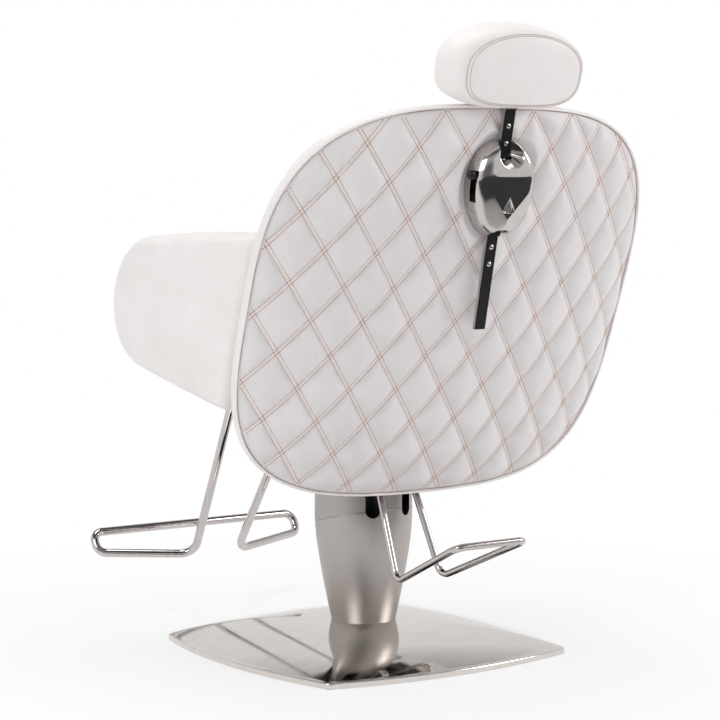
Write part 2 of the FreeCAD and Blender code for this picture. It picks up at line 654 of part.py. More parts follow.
def seat_plate():
    """Hub of the seat: a boss on the lift rod and the plate that the frame is bolted to."""
    body = new_body("seat_plate")
    made = sketch(body, "XY_Plane", "seat_plate_level")
    outline(made, [("-seat_plate_half_width", "seat_plate_front"),
                   ("seat_plate_half_width", "seat_plate_front"),
                   ("seat_plate_half_width", "seat_plate_rear"),
                   ("-seat_plate_half_width", "seat_plate_rear")])
    plate = pad(body, made, "seat_plate_thickness")
    soften(body, plate, "boss_radius / 2", along_z)
    boss = sketch(body, "XY_Plane", "boss_level")
    disc(boss, "0", "0", "boss_radius")
    pad(body, boss, "seat_plate_level - boss_level")
    bore = sketch(body, "XY_Plane", RAIL)
    disc(bore, "0", "0", "piston_radius + running_gap")
    pocket(body, bore)
    holes = sketch(body, "XY_Plane", RAIL)
    for x in ("", "-"):
        for y in ("front_cross_y", "rear_cross_y"):
            disc(holes, x + "seat_bolt_x", y, "seat_bolt_radius + fit_gap")
    pocket(body, holes)


def seat_bolts():
    """Bolts up through the hub's plate into the cross rails."""
    one = bolt((0, 0, -1), "seat_bolt_across_corners / 2", "seat_bolt_head", "seat_bolt_radius",
               "seat_bolt_length")
    modelled("seat_bolts", Part.makeCompound([
        moved(one, side * size("seat_bolt_x"), size(y), size("seat_plate_level"))
        for side in (1, -1) for y in ("front_cross_y", "rear_cross_y")]))


def frame_rails():
    """Square tubes of the seat frame, welded end to side."""
    low = RAIL
    high = RAIL + " + rail_width"
    inner = "(frame_half_width - rail_width)"
    front = block("front_rail", ("-front_rail_half_length", "front_rail_y", low),
                  ("front_rail_half_length", "front_rail_y + rail_width", high))
    keep("front_rail", front)
    for label, side in (("left_foot_rail", 1), ("right_foot_rail", -1)):
        middle = "%d * foot_rail_x" % side
        keep(label, block(label, (middle + " - rail_width / 2", "front_rail_y + rail_width", low),
                          (middle + " + rail_width / 2", "front_cross_y - rail_width / 2", high)))
    rear = block("rear_rail", ("-" + inner, "frame_rear - rail_width", low),
                 (inner, "frame_rear", high))
    keep("rear_rail", rear)
    for label, y in (("front_cross_rail", "front_cross_y"), ("rear_cross_rail", "rear_cross_y")):
        body = new_body(label)
        made = sketch(body, "XY_Plane", low)
        outline(made, [("-" + inner, y + " - rail_width / 2"), (inner, y + " - rail_width / 2"),
                       (inner, y + " + rail_width / 2"), ("-" + inner, y + " + rail_width / 2")])
        pad(body, made, "rail_width")
        holes = sketch(body, "XY_Plane", low)
        for x in ("", "-"):
            disc(holes, x + "seat_bolt_x", y, "seat_bolt_radius + fit_gap")
        pocket(body, holes, "seat_bolt_length - seat_plate_thickness + fit_gap", back=True)


def side_rail(label, side):
    """Long side tube with two short tabs that carry the armrest's plate."""
    body = new_body(label)
    made = sketch(body, "XY_Plane", RAIL)
    near = side + "(frame_half_width - rail_width)"
    far = side + "frame_half_width"
    tab = side + ARM_PLATE
    half = "rail_width / 2"
    outline(made, [(near, "frame_front"), (far, "frame_front"),
                   (far, "tab_front_y - " + half), (tab, "tab_front_y - " + half),
                   (tab, "tab_front_y + " + half), (far, "tab_front_y + " + half),
                   (far, "tab_rear_y - " + half), (tab, "tab_rear_y - " + half),
                   (tab, "tab_rear_y + " + half), (far, "tab_rear_y + " + half),
                   (far, "frame_rear"), (near, "frame_rear")])
    pad(body, made, "rail_width")
    holes = sketch(body, "YZ_Plane", tab)
    for y in ("tab_front_y", "tab_rear_y"):
        disc(holes, y, RAIL + " + rail_width / 2", "arm_bolt_radius + fit_gap")
    pocket(body, holes, "arm_bolt_length - arm_plate_thickness + fit_gap", back=bool(side))
    if side:
        pin = sketch(body, "YZ_Plane", far)
        disc(pin, "lever_y", "lever_z", "lever_pin_radius")
        pad(body, pin, "lever_hub_width + fit_gap", back=True)


def seat_board():
    """Plywood base of the seat cushion with rounded corners."""
    body = new_body("seat_board")
    made = sketch(body, "XY_Plane", RAIL + " + rail_width")
    outline(made, [("-board_half_width", "board_front"), ("board_half_width", "board_front"),
                   ("board_half_width", "board_rear"), ("-board_half_width", "board_rear")])
    soften(body, pad(body, made, "board_thickness"), "board_corner_radius", along_z)


def seat_cushion():
    """Stuffed seat: flat below, drawn in at its foot, crowned on top."""
    points = oval(size("cushion_half_width"), size("(cushion_rear - cushion_front) / 2"),
                  size("cushion_power"), size("cushion_power"))
    rings = [ring(points, share, size("cushion_crown") * depth_share)
             for share, depth_share in SEAT_SHARES]
    shape = Part.makeLoft(rings, True, True)
    level = RAIL + " + rail_width + board_thickness + fit_gap"
    shape.translate(spot("0", "(cushion_front + cushion_rear) / 2", level))
    modelled("seat_cushion", shape)


def armrests():
    """Upholstered arms: rounded slabs that follow the back's slope behind and dip in front."""
    body = new_body("left_armrest")
    inner = ARM_PLATE + " + arm_plate_thickness"
    made = sketch(body, "YZ_Plane", inner)
    root = "sqrt(2) / 2"
    outline(made, [
        ("arm_rear_y", "arm_top"),
        ("arm_nose_y + arm_nose_radius", "arm_top",
         "arm_nose_y + arm_nose_radius * (1 - %s)" % root,
         "arm_nose_z + arm_nose_radius * %s" % root),
        ("arm_nose_y", "arm_nose_z", "(arm_nose_y + arm_chin_y) / 2 - arm_chin_bulge",
         "(arm_nose_z + arm_chin_z) / 2"),
        ("arm_chin_y", "arm_chin_z"), ("arm_belly_y", "arm_belly_z"), ("arm_heel_y", "arm_heel_z")])
    slab = pad(body, made, "arm_width")
    soften(body, slab, "arm_rounding", in_plane_x)
    mirrored = doc.addObject("Part::Mirroring", "right_armrest")
    mirrored.Source = body
    mirrored.Base = Vector(0, 0, 0)
    mirrored.Normal = Vector(1, 0, 0)
    keep("right_armrest", mirrored)


def arm_plate(label, side):
    """Steel plate between the seat and an armrest, bolted to the frame's tabs."""
    body = new_body(label)
    made = sketch(body, "YZ_Plane", side + ARM_PLATE)
    outline(made, [("arm_plate_front", RAIL), ("arm_plate_rear", RAIL),
                   ("arm_plate_rear", "arm_plate_top - arm_plate_corner"),
                   ("arm_plate_rear - arm_plate_corner", "arm_plate_top"),
                   ("arm_plate_front + arm_plate_corner", "arm_plate_top"),
                   ("arm_plate_front", "arm_plate_top - arm_plate_corner")])
    pad(body, made, "arm_plate_thickness", back=bool(side))
    holes = sketch(body, "YZ_Plane", side + ARM_PLATE)
    for y in ("tab_front_y", "tab_rear_y"):
        disc(holes, y, RAIL + " + rail_width / 2", "arm_bolt_radius + fit_gap")
    pocket(body, holes, both=True)


def arm_bolts():
    """Bolts through both arm plates into the frame's tabs."""
    bolts = []
    for side in (1, -1):
        one = bolt((side, 0, 0), "arm_bolt_across_corners / 2", "arm_bolt_head",
                   "arm_bolt_radius", "arm_bolt_length")
        for y in ("tab_front_y", "tab_rear_y"):
            bolts.append(moved(one, side * size(ARM_PLATE + " + arm_plate_thickness"), size(y),
                               size(RAIL + " + rail_width / 2")))
    modelled("arm_bolts", Part.makeCompound(bolts))


def foot_direction():
    """Unit vector up the footrest's left arm."""
    low = spot("foot_low_x", "foot_low_y", "foot_low_z")
    return (spot("foot_top_x", "foot_top_y", "foot_top_z") - low).normalize()


def foot_point(distance, side):
    """A point on an arm's line, at a distance below the rail's underside."""
    up = foot_direction()
    top = spot("foot_top_x", "foot_top_y", "foot_top_z")
    point = top + up * ((size(RAIL) - top.z) / up.z - distance)
    return Vector(side * point.x, point.y, point.z)


def footrest():
    """One tube: up into each socket, down, out to the sides and round the front."""
    half = [foot_point(size("foot_tube_radius"), 1), spot("foot_low_x", "foot_low_y", "foot_low_z"),
            spot("foot_side_x", "foot_side_y", "foot_side_z"),
            spot("foot_front_x", "foot_front_y", "foot_front_z")]
    points = half + [Vector(-point.x, point.y, point.z) for point in reversed(half)]
    bends = [size("foot_low_bend"), size("foot_end_bend"), size("foot_end_bend")]
    modelled("footrest", bent_bar(points, bends + bends[::-1], size("foot_tube_radius")))


def footrest_sockets():
    """Two slanted sleeves welded under the front rail, each tapped for a set screw."""
    sockets = []
    length = size("socket_length")
    roof = Part.makeBox(4 * length, 4 * length, length,
                        Vector(-2 * length, size("front_rail_y") - 2 * length, size(RAIL)))
    for side in (1, -1):
        low = foot_point(length, side)
        high = foot_point(-size("socket_radius"), side)
        sleeve = tube_between(low, high, size("socket_radius"))
        bore = tube_between(low + (low - high), foot_point(0, side) + (high - low),
                            size("foot_tube_radius + running_gap"))
        centre, rear = screw_seat(side)
        drill = tube_between(centre, centre + rear * size("socket_radius + overrun"),
                             size("set_screw_radius + running_gap"))
        sockets.append(sleeve.cut(bore).cut(roof).cut(drill))
    modelled("footrest_sockets", Part.makeCompound(sockets))


def screw_seat(side):
    """Where a set screw crosses a socket's axis, and the direction it comes in from."""
    up = foot_direction()
    rear = Vector(1, 0, 0).cross(Vector(side * up.x, up.y, up.z)).normalize()
    if rear.y < 0:
        rear = -rear
    return foot_point(size("socket_length * 2 / 3"), side), rear


def socket_screws():
    """Round-headed set screws that pinch the footrest in its sockets."""
    screws = []
    for side in (1, -1):
        centre, rear = screw_seat(side)
        one = bolt((0, 0, 1), "set_screw_head_radius", "set_screw_head", "set_screw_radius",
                   "socket_radius - foot_tube_radius - running_gap", hexagon=False)
        one.Placement = FreeCAD.Placement(centre + rear * size("socket_radius"),
                                          FreeCAD.Rotation(Vector(0, 0, 1), rear))
        screws.append(one)
    modelled("socket_screws", Part.makeCompound(screws))


def hinge_plate(label, side):
    """Plate welded under the rear rail; its round end carries the recline pin."""
    body = new_body(label)
    made = sketch(body, "YZ_Plane", side + "hinge_plate_x")
    outline(made, [("hinge_plate_front", RAIL),
                   ("hinge_plate_front", "hinge_plate_foot"),
                   ("hinge_y - hinge_eye_radius", "hinge_z", "hinge_y",
                    "hinge_z - hinge_eye_radius"),
                   ("hinge_y + hinge_eye_radius", "hinge_z"),
                   ("hinge_plate_shoulder", RAIL)])
    pad(body, made, "hinge_plate_thickness", back=bool(side))
    eye = sketch(body, "YZ_Plane", side + "hinge_plate_x")
    disc(eye, "hinge_y", "hinge_z", "hinge_pin_radius")
    pocket(body, eye, both=True)


def hinge_pins():
    """Headed pins, fixed in the hinge plates, that the back's brackets turn on."""
    pins = []
    reach = "hinge_plate_thickness + bracket_gap + bracket_thickness"
    for side in (1, -1):
        pin = bolt((-side, 0, 0), "hinge_pin_head_radius", "hinge_pin_head", "hinge_pin_radius",
                   reach + " + hinge_pin_head", hexagon=False)
        pins.append(moved(pin, side * size("hinge_plate_x"), size("hinge_y"), size("hinge_z")))
    modelled("hinge_pins", Part.makeCompound(pins))


def in_back(y, z):
    """A point of the chair's side view, seen in the back's frame."""
    local = frame_of(BACK).inverse().multVec(Vector(0, size(y), size(z)))
    return local.y, local.z


def eyed_plate(first, second, first_radius, second_radius):
    """A flat face with two round ends, drawn across x = 0 in the back's frame."""
    faces = []
    for (y, z), radius in ((first, first_radius), (second, second_radius)):
        circle = Part.makeCircle(radius, Vector(0, y, z), Vector(1, 0, 0))
        faces.append(Part.Face(Part.Wire(circle)))
    across = Vector(0, first[0] - second[0], first[1] - second[1])
    side = Vector(1, 0, 0).cross(across).normalize()
    low = Vector(0, *second)
    high = Vector(0, *first)
    web = Part.Face(Part.makePolygon([low + side * second_radius, high + side * first_radius,
                                      high - side * first_radius, low - side * second_radius,
                                      low + side * second_radius]))
    return faces[0].fuse(faces[1]).fuse(web)


FLANGE_LOW = "(bracket_flange_inset - back_half_height)"
FLANGE_HIGH = "(bracket_flange_inset + bracket_flange_length - back_half_height)"


def back_bracket(label, side, with_crank):
    """Bracket of the back: an eye on the hinge pin and a flange that follows the bowed board."""
    thickness = size("bracket_thickness")
    near = size("hinge_plate_x + hinge_plate_thickness + bracket_gap")
    eye = in_back("hinge_y", "hinge_z")
    crank = in_back("crank_y", "crank_z")
    low = size(FLANGE_LOW)
    high = size(FLANGE_HIGH)
    rear = 0
    front = eye[1]
    plate = Part.Face(Part.makePolygon([
        Vector(0, low, rear), Vector(0, high, rear), Vector(0, high, front + size("bracket_eye_radius")),
        Vector(0, eye[0] + size("bracket_eye_radius"), front), Vector(0, eye[0], front),
        Vector(0, low, front + size("bracket_eye_radius")), Vector(0, low, rear)]))
    shape = plate.extrude(Vector(thickness, 0, 0))
    round_end = Part.makeCylinder(size("bracket_eye_radius"), thickness, Vector(0, *eye),
                                  Vector(1, 0, 0))
    shape = shape.fuse(round_end)
    if with_crank:
        arm = eyed_plate(eye, crank, size("bracket_eye_radius"), size("crank_eye_radius"))
        for face in arm.Faces:
            shape = shape.fuse(face.extrude(Vector(thickness, 0, 0)))
    depth = size("back_board_thickness + panel_edge")
    floor = -depth - sag(near + size("bracket_flange_width"), size("bow_radius"))
    flange = Part.makeBox(size("bracket_flange_width"), high - low,
                          -floor + size("bracket_flange_depth"),
                          Vector(0, low, floor - size("bracket_flange_depth") / 2))
    shape = shape.fuse(flange)
    shape.translate(Vector(near, 0, 0))
    if side > 0:
        shape = shape.mirror(Vector(0, 0, 0), Vector(1, 0, 0))
    shape = shape.common(bow_solid(depth, size("back_half_height")))
    pin = Part.makeCylinder(size("hinge_pin_radius + running_gap"), 8 * near,
                            Vector(-4 * near, *eye), Vector(1, 0, 0))
    shape = shape.cut(pin)
    for hole in bracket_screw_set("bracket_screw_radius + fit_gap"):
        shape = shape.cut(hole)
    if with_crank:
        hole = Part.makeCylinder(size("crank_pin_radius"), 8 * near, Vector(-4 * near, *crank),
                                 Vector(1, 0, 0))
        shape = shape.cut(hole)
    modelled(label, shape.removeSplitter(), BACK)


def bracket_screw_set(shank):
    """Wood screws through both flanges into the board, in the back's frame."""
    screws = []
    near = size("hinge_plate_x + hinge_plate_thickness + bracket_gap + bracket_thickness")
    middle = near + size("(bracket_flange_width - bracket_thickness) / 2")
    depth = size("back_board_thickness + panel_edge")
    flange = -depth - sag(size("hinge_plate_x + hinge_plate_thickness + bracket_gap"
                               " + bracket_flange_width"), size("bow_radius"))
    level = flange - size("bracket_flange_depth") / 2
    one = bolt((0, 0, -1), "bracket_screw_head_radius", "bracket_screw_head", shank,
               "bracket_screw_length", hexagon=False)
    for side in (1, -1):
        for number in range(BRACKET_SCREWS):
            y = size(FLANGE_HIGH) - size("bracket_screw_pitch") * (number + 0.5)
            screws.append(moved(one, side * middle, y, level))
    return screws


def bracket_screws():
    """Screws that hold both brackets on the board."""
    modelled("bracket_screws", Part.makeCompound(bracket_screw_set("bracket_screw_radius")), BACK)


def crank_pin():
    """Pin of the gas spring's rear eye, fixed in the left bracket."""
    near = size("gas_x - gas_eye_half_width - anchor_gap")
    far = size("hinge_plate_x + hinge_plate_thickness + bracket_gap + bracket_thickness")
    y, z = in_back("crank_y", "crank_z")
    pin = Part.makeCylinder(size("crank_pin_radius"), far - near, Vector(-far, y, z),
                            Vector(1, 0, 0))
    head = Part.makeCylinder(size("crank_eye_radius"), size("anchor_gap"),
                             Vector(-near, y, z), Vector(1, 0, 0))
    modelled("crank_pin", pin.fuse(head).removeSplitter(), BACK)


def gas_line():
    """Ends of the gas spring's axis, from the seat's anchor to the back's crank."""
    return spot("gas_x", "gas_anchor_y", "gas_anchor_z"), spot("gas_x", "crank_y", "crank_z")


def eye_piece(centre, radius, bore):
    width = size("gas_eye_half_width")
    start = centre - Vector(width, 0, 0)
    return Part.makeCylinder(size(radius), 2 * width, start, Vector(1, 0, 0)), Part.makeCylinder(
        size(bore), 4 * width, start - Vector(width, 0, 0), Vector(1, 0, 0))


def gas_cylinder():
    """Pressure tube of the gas spring with its front eye and a guided open end."""
    anchor, crank = gas_line()
    along = (crank - anchor).normalize()
    start = anchor + along * size("gas_start")
    shape = tube_between(start, start + along * size("gas_length"), size("gas_radius"))
    inside = tube_between(start + along * size("gas_wall"),
                          start + along * size("gas_length - 3 * gas_wall"),
                          size("gas_radius - gas_wall"))
    guide = tube_between(start + along * size("gas_wall"), crank,
                         size("gas_rod_radius + running_gap"))
    neck = tube_between(anchor, start + along * size("gas_wall"), size("gas_rod_radius"))
    eye, bore = eye_piece(anchor, "gas_eye_radius", "crank_pin_radius + running_gap")
    shape = shape.cut(inside).cut(guide).fuse(neck).fuse(eye).cut(bore)
    modelled("gas_cylinder", shape.removeSplitter())


def gas_rod():
    """Rod of the gas spring; its eye rides loosely on the crank pin."""
    anchor, crank = gas_line()
    along = (crank - anchor).normalize()
    start = anchor + along * size("gas_start + gas_length - gas_rod_depth")
    eye, bore = eye_piece(crank, "gas_eye_radius", "gas_open_bore_radius")
    shape = tube_between(start, crank, size("gas_rod_radius")).fuse(eye).cut(bore)
    modelled("gas_rod", shape.removeSplitter())


def gas_anchor():
    """Fork under the front cross rail, with the pin of the gas spring's front eye."""
    anchor = gas_line()[0]
    inner = size("gas_eye_half_width + anchor_gap")
    outer = inner + size("anchor_ear_thickness")
    half = size("anchor_ear_half_width")
    roof = size(RAIL) - anchor.z
    web = size("anchor_top_thickness")
    shape = Part.makeBox(2 * outer, 2 * half, roof, Vector(-outer, -half, 0))
    foot = Part.makeCylinder(half, 2 * outer, Vector(-outer, 0, 0), Vector(1, 0, 0))
    shape = shape.fuse(foot)
    shape = shape.cut(Part.makeBox(2 * inner, 4 * half, roof - web + 2 * half,
                                   Vector(-inner, -2 * half, -2 * half)))
    pin = Part.makeCylinder(size("crank_pin_radius"), 2 * outer, Vector(-outer, 0, 0),
                            Vector(1, 0, 0))
    shape = shape.fuse(pin)
    shape.translate(anchor)
    modelled("gas_anchor", shape.removeSplitter())


def recline_lever():
    """Release lever of the recline: a hub on the frame's stud and a cranked bar."""
    hub_near = size("frame_half_width + fit_gap")
    width = size("lever_hub_width - fit_gap")
    centre = Vector(-hub_near, size("lever_y"), size("lever_z"))
    hub = Part.makeCylinder(size("lever_hub_radius"), width, centre, Vector(-1, 0, 0))
    middle = centre - Vector(width / 2, 0, 0)
    points = [middle, Vector(-size("lever_reach_x"), size("lever_bend_y"), middle.z),
              Vector(-size("lever_reach_x"), size("lever_end_y"), middle.z)]
    bar = bent_bar(points, [size("lever_bend_radius")], size("lever_bar_radius"))
    bore = Part.makeCylinder(size("lever_pin_radius + running_gap"), 3 * width,
                             centre + Vector(width, 0, 0), Vector(-1, 0, 0))
    modelled("recline_lever", hub.fuse(bar).cut(bore).removeSplitter())


def lever_grip():
    """Plastic grip pushed over the lever's end."""
    end = Vector(-size("lever_reach_x"), size("lever_end_y"), size("lever_z"))
    length = size("grip_length")
    radius = size("grip_radius")
    tip = end - Vector(0, radius, 0)
    grip = Part.makeCylinder(radius, length, tip, Vector(0, 1, 0))
    grip = grip.makeFillet(size("grip_rounding"), [edge for edge in grip.Edges
                                          if edge.BoundBox.YLength < 1e-6])
    hole = Part.makeCylinder(size("lever_bar_radius"), length, end, Vector(0, 1, 0))
    modelled("lever_grip", grip.cut(hole))


def back_outline(inset=0):
    return oval(size("back_half_width") - inset, size("back_half_height") - inset,
                size("back_upper_power"), size("back_lower_power"), size("back_taper_share"))


def back_slab(inset, behind, ahead):
    """The back's outline as a bowed sheet between two depths."""
    deep = size("back_board_thickness + panel_edge") + sag(size("back_half_width"), size("bow_radius"))
    points = back_outline(inset)
    face = Part.Face(ring(points, 1, -2 * deep))
    slab = face.extrude(Vector(0, 0, 3 * deep))
    half = size("back_half_height")
    return slab.common(bow_solid(behind, half)).cut(bow_solid(ahead, half))


def lock_screw_set(shank):
    """Screws through the lock's base plate into the board, in the bar's frame."""
    one = bolt((0, 0, 1), "lock_screw_head_radius", "lock_screw_head", shank,
               "lock_screw_length", hexagon=False)
    level = size("lock_base_thickness - lock_floor")
    return [moved(one, x * size("lock_screw_x"), y * size("lock_screw_y"), level)
            for x in (1, -1) for y in (1, -1)]


def lock_screws():
    """Four screws of the lock's base."""
    modelled("lock_screws", Part.makeCompound(lock_screw_set("lock_screw_radius")), BAR)


def back_board():
    """Bowed plywood shell of the back, drilled for its brackets and for the lock."""
    board = back_slab(size("back_board_inset"), size("panel_edge"),
                      size("panel_edge + back_board_thickness"))
    for hole in bracket_screw_set("bracket_screw_radius + fit_gap"):
        board = board.cut(hole)
    for hole in lock_screw_set("lock_screw_radius + fit_gap"):
        board = board.cut(seated(hole, BAR, BACK))
    modelled("back_board", board, BACK)


def back_band():
    """Upholstered band round the board's edge."""
    ahead = size("panel_edge + back_board_thickness")
    whole = back_slab(0, size("panel_edge"), ahead)
    core = back_slab(size("back_board_inset"), size("panel_edge - overrun"), ahead + size("overrun"))
    modelled("back_band", whole.cut(core), BACK)


def panel_level(share):
    """Height of the crowned rear panel at a share of its outline."""
    return size("panel_crown") * (1 - share ** size("panel_crown_power"))


def lock_outline(inset=0):
    return oval(size("lock_half_width") - inset, size("lock_half_height") - inset,
                size("lock_upper_power"), size("lock_lower_power"), size("lock_taper_share"))


def back_panel():
    """Crowned rear panel, let in where the lock's base plate sits on it."""
    points = back_outline()
    bow = size("bow_radius")
    front = -2 * sag(size("back_half_width"), bow)
    rings = [ring(points, 1, front)]
    rings += [ring(points, share, panel_level(share), bow) for share in PANEL_SHARES[:-1]]
    rings.append(ring(points, PANEL_SHARES[-1], panel_level(PANEL_SHARES[-1])))
    panel = Part.makeLoft(rings, True, True)
    panel = panel.cut(bow_solid(size("panel_edge"), size("back_half_height")))
    gap = size("fit_gap")
    seat = Part.Face(ring(lock_outline(-gap), 1, -size("lock_floor") - gap))
    seat = seat.extrude(Vector(0, 0, size("lock_floor + panel_crown")))
    panel = panel.cut(seated(seat, BAR, BACK))
    for hole in lock_screw_set("lock_screw_radius + fit_gap"):
        panel = panel.cut(seated(hole, BAR, BACK))
    modelled("back_panel", panel, BACK)


def back_cushion():
    """Stuffed front of the back, crowned towards the sitter and drawn in at the board."""
    depth = size("panel_edge + back_board_thickness")
    bow = size("bow_radius")
    points = oval(size("front_half_width"),
                  size("back_half_height - (front_foot_inset + front_top_inset) / 2"), size("front_power"),
                  size("front_power"))
    first_share = FRONT_SHARES[0][0]
    rings = [ring(points, first_share, 0)]
    rings += [ring(points, share, -depth - size("front_crown") * depth_share, bow)
              for share, depth_share in FRONT_SHARES[:-1]]
    rings.append(ring(points, FRONT_SHARES[-1][0], -depth - size("front_crown")))
    shape = Part.makeLoft(rings, True, True)
    shape.translate(Vector(0, size("(front_foot_inset - front_top_inset) / 2"), 0))
    shape = shape.common(bow_solid(depth + size("fit_gap"), size("back_half_height")))
    modelled("back_cushion", shape, BACK)


def lock_base():
    """Steel plate under the lock, screwed through the panel to the board."""
    floor = -size("lock_floor")
    plate = Part.Face(ring(lock_outline(size("lock_base_inset")), 1, floor))
    plate = plate.extrude(Vector(0, 0, size("lock_base_thickness")))
    for hole in lock_screw_set("lock_screw_radius + fit_gap"):
        plate = plate.cut(hole)
    stud = Part.makeCylinder(size("lock_lever_pin_radius"),
                             size("lock_lever_level + lock_lever_boss_height / 2 + lock_floor"
                                  " - lock_base_thickness"),
                             spot("lock_lever_x", "lock_lever_y",
                                  "lock_base_thickness - lock_floor"), Vector(0, 0, 1))
    modelled("lock_base", plate.fuse(stud).removeSplitter(), BAR)


def lock_dome(inset):
    """Egg-shaped dome of the housing, outside or inside."""
    points = lock_outline(inset)
    floor = size("lock_base_thickness - lock_floor")
    rise = size("lock_crown") - inset - floor
    rings = [ring(points, share, floor + rise * depth_share) for share, depth_share in LOCK_SHARES]
    return Part.makeLoft(rings, True, True)


def shield_prism(points, level, height):
    return Part.Face(Part.makePolygon([Vector(x, y, level) for x, y in points + points[:1]])).extrude(
        Vector(0, 0, height))


def lock_housing():
    """Cast and polished cover of the lock.

    An egg with a scoop where the bar enters above and below, a flat shield sunk in its face
    with a three-sided facet in it, and a slot in its left flank for the lever.
    """
    shell = lock_dome(0)
    over = size("overrun")
    high = size("lock_crown") + over
    reach = 2 * size("lock_half_height")
    half = size("channel_half_width")
    channel = Part.makeBox(2 * half, 2 * reach, size("channel_back") + size("channel_front"),
                           Vector(-half, -reach, -size("channel_back")))
    top = Part.makeCylinder(size("scoop_radius"), reach,
                            spot("0", "scoop_start", "scoop_centre"),
                            spot("0", "1", "scoop_rise_share"))
    foot = Part.makeCylinder(size("scoop_low_radius"), reach,
                             spot("0", "-scoop_low_start", "scoop_centre / 2"),
                             spot("0", "-1", "scoop_low_rise_share"))
    shield = [(-size("shield_half_width"), size("shield_top")),
              (-size("shield_half_width"), size("shield_side")), (0, size("shield_tip")),
              (size("shield_half_width"), size("shield_side")),
              (size("shield_half_width"), size("shield_top"))]
    facet = [(0, size("facet_top")), (-size("facet_half_width"), size("facet_foot")),
             (size("facet_half_width"), size("facet_foot"))]
    shield_level = size("lock_crown - shield_depth")
    shell = shell.cut(shield_prism(shield, shield_level, high))
    shell = shell.cut(shield_prism(facet, shield_level - size("facet_depth"), high))
    shell = shell.cut(top).cut(foot)
    hollow = lock_dome(size("lock_wall + shield_depth"))
    floor = size("lock_base_thickness - lock_floor")
    keep_box = Part.makeBox(4 * reach, size("hollow_high - hollow_low"),
                            size("lock_crown - shield_depth - facet_depth - lock_wall") - floor,
                            Vector(-2 * reach, size("hollow_low"), floor))
    shell = shell.cut(hollow.common(keep_box)).cut(channel)
    slot = Part.makeBox(reach, size("flank_slot_high - flank_slot_low"), size("flank_slot_depth"),
                        Vector(-reach - size("flank_slot_x"), size("flank_slot_low"),
                               size("flank_slot_floor")))
    shell = shell.cut(slot)
    for screw in lock_screw_set("lock_screw_radius"):
        box = screw.BoundBox
        well = Part.makeCylinder(size("lock_screw_head_radius + fit_gap"),
                                 size("lock_screw_head + fit_gap"),
                                 Vector(box.Center.x, box.Center.y, floor), Vector(0, 0, 1))
        shell = shell.cut(well)
    modelled("lock_housing", shell.removeSplitter(), BAR)


def lock_lever():
    """Cam lever of the lock: its boss turns on the base's stud, its arm leaves by the slot."""
    x, y, level = (size(name) for name in ("lock_lever_x", "lock_lever_y", "lock_lever_level"))
    height = size("lock_lever_boss_height")
    boss = Part.makeCylinder(size("lock_lever_boss_radius"), height,
                             Vector(x, y, level - height / 2), Vector(0, 0, 1))
    end = Vector(size("lock_lever_end_x"), size("lock_lever_end_y"), level)
    arm = tube_between(Vector(x, y, level), end, size("lock_lever_bar_radius"))
    bore = Part.makeCylinder(size("lock_lever_pin_radius + running_gap"), 3 * height,
                             Vector(x, y, level - height), Vector(0, 0, 1))
    modelled("lock_lever", boss.fuse(arm).cut(bore).removeSplitter(), BAR)


def lever_knob():
    """Oval knob on the lock lever's end."""
    start = Vector(size("lock_lever_x"), size("lock_lever_y"), size("lock_lever_level"))
    end = Vector(size("lock_lever_end_x"), size("lock_lever_end_y"), size("lock_lever_level"))
    along = (end - start).normalize()
    half = size("knob_length") / 2
    ball = Part.makeSphere(size("knob_radius"))
    stretch = FreeCAD.Matrix()
    stretch.A33 = half / size("knob_radius")
    egg = ball.transformGeometry(stretch)
    egg.Placement = FreeCAD.Placement(end, FreeCAD.Rotation(Vector(0, 0, 1), along))
    arm = tube_between(start, end, size("lock_lever_bar_radius"))
    modelled("lever_knob", egg.cut(arm), BAR)


def lock_clamp():
    """Block beside the bar that the cam presses against its edge."""
    near = size("bar_half_width + clamp_gap")
    half = size("clamp_half_length")
    floor = size("lock_base_thickness - lock_floor")
    height = size("bar_thickness") / 2 - floor
    modelled("lock_clamp", Part.makeBox(size("clamp_width"), 2 * half, height,
                                        Vector(near, -half, floor)), BAR)


def head_bar():
    """Flat bar that slides through the lock."""
    half = size("bar_half_width")
    low = size("bar_low")
    thickness = size("bar_thickness")
    bar = Part.makeBox(2 * half, size("bar_high") - low, thickness,
                       Vector(-half, low, -thickness / 2 - size("strip_thickness") / 2))
    modelled("head_bar", bar, BAR)


def bar_front():
    """Level of the bar's rear face, which carries the dark strip."""
    return size("bar_thickness / 2 - strip_thickness / 2")


def bar_strip():
    """Dark strip along the rear face of the bar."""
    half = size("strip_half_width")
    strip = Part.makeBox(2 * half, size("bar_high - bar_low"), size("strip_thickness"),
                         Vector(-half, size("bar_low"), bar_front()))
    modelled("bar_strip", strip, BAR)


def bar_studs():
    """Domed studs at an even pitch, one for each locking height."""
    radius = size("stud_radius")
    height = size("stud_height")
    ball_radius = (radius * radius + height * height) / (2 * height)
    level = bar_front() + size("strip_thickness")
    cap = Part.makeSphere(ball_radius, Vector(0, 0, level + height - ball_radius))
    cap = cap.common(Part.makeCylinder(radius, height, Vector(0, 0, level), Vector(0, 0, 1)))
    modelled("bar_studs", Part.makeCompound([
        moved(cap, 0, size("stud_first") - number * size("stud_pitch"), 0)
        for number in range(STUDS)]), BAR)


def headrest_tongue():
    """Tongue on the bar's top that the headrest tilts on."""
    wide = size("tongue_half_width")
    deep = size("tongue_half_depth")
    low = size("bar_high")
    level = size("tilt_level")
    shape = Part.makeBox(2 * wide, level - low, 2 * deep, Vector(-wide, low, -deep))
    eye = Part.makeCylinder(size("tilt_eye_radius"), 2 * wide, Vector(-wide, level, 0),
                            Vector(1, 0, 0))
    bore = Part.makeCylinder(size("tilt_pin_radius + running_gap"), 4 * wide,
                             Vector(-2 * wide, level, 0), Vector(1, 0, 0))
    modelled("headrest_tongue", shape.fuse(eye).cut(bore).removeSplitter(), BAR)


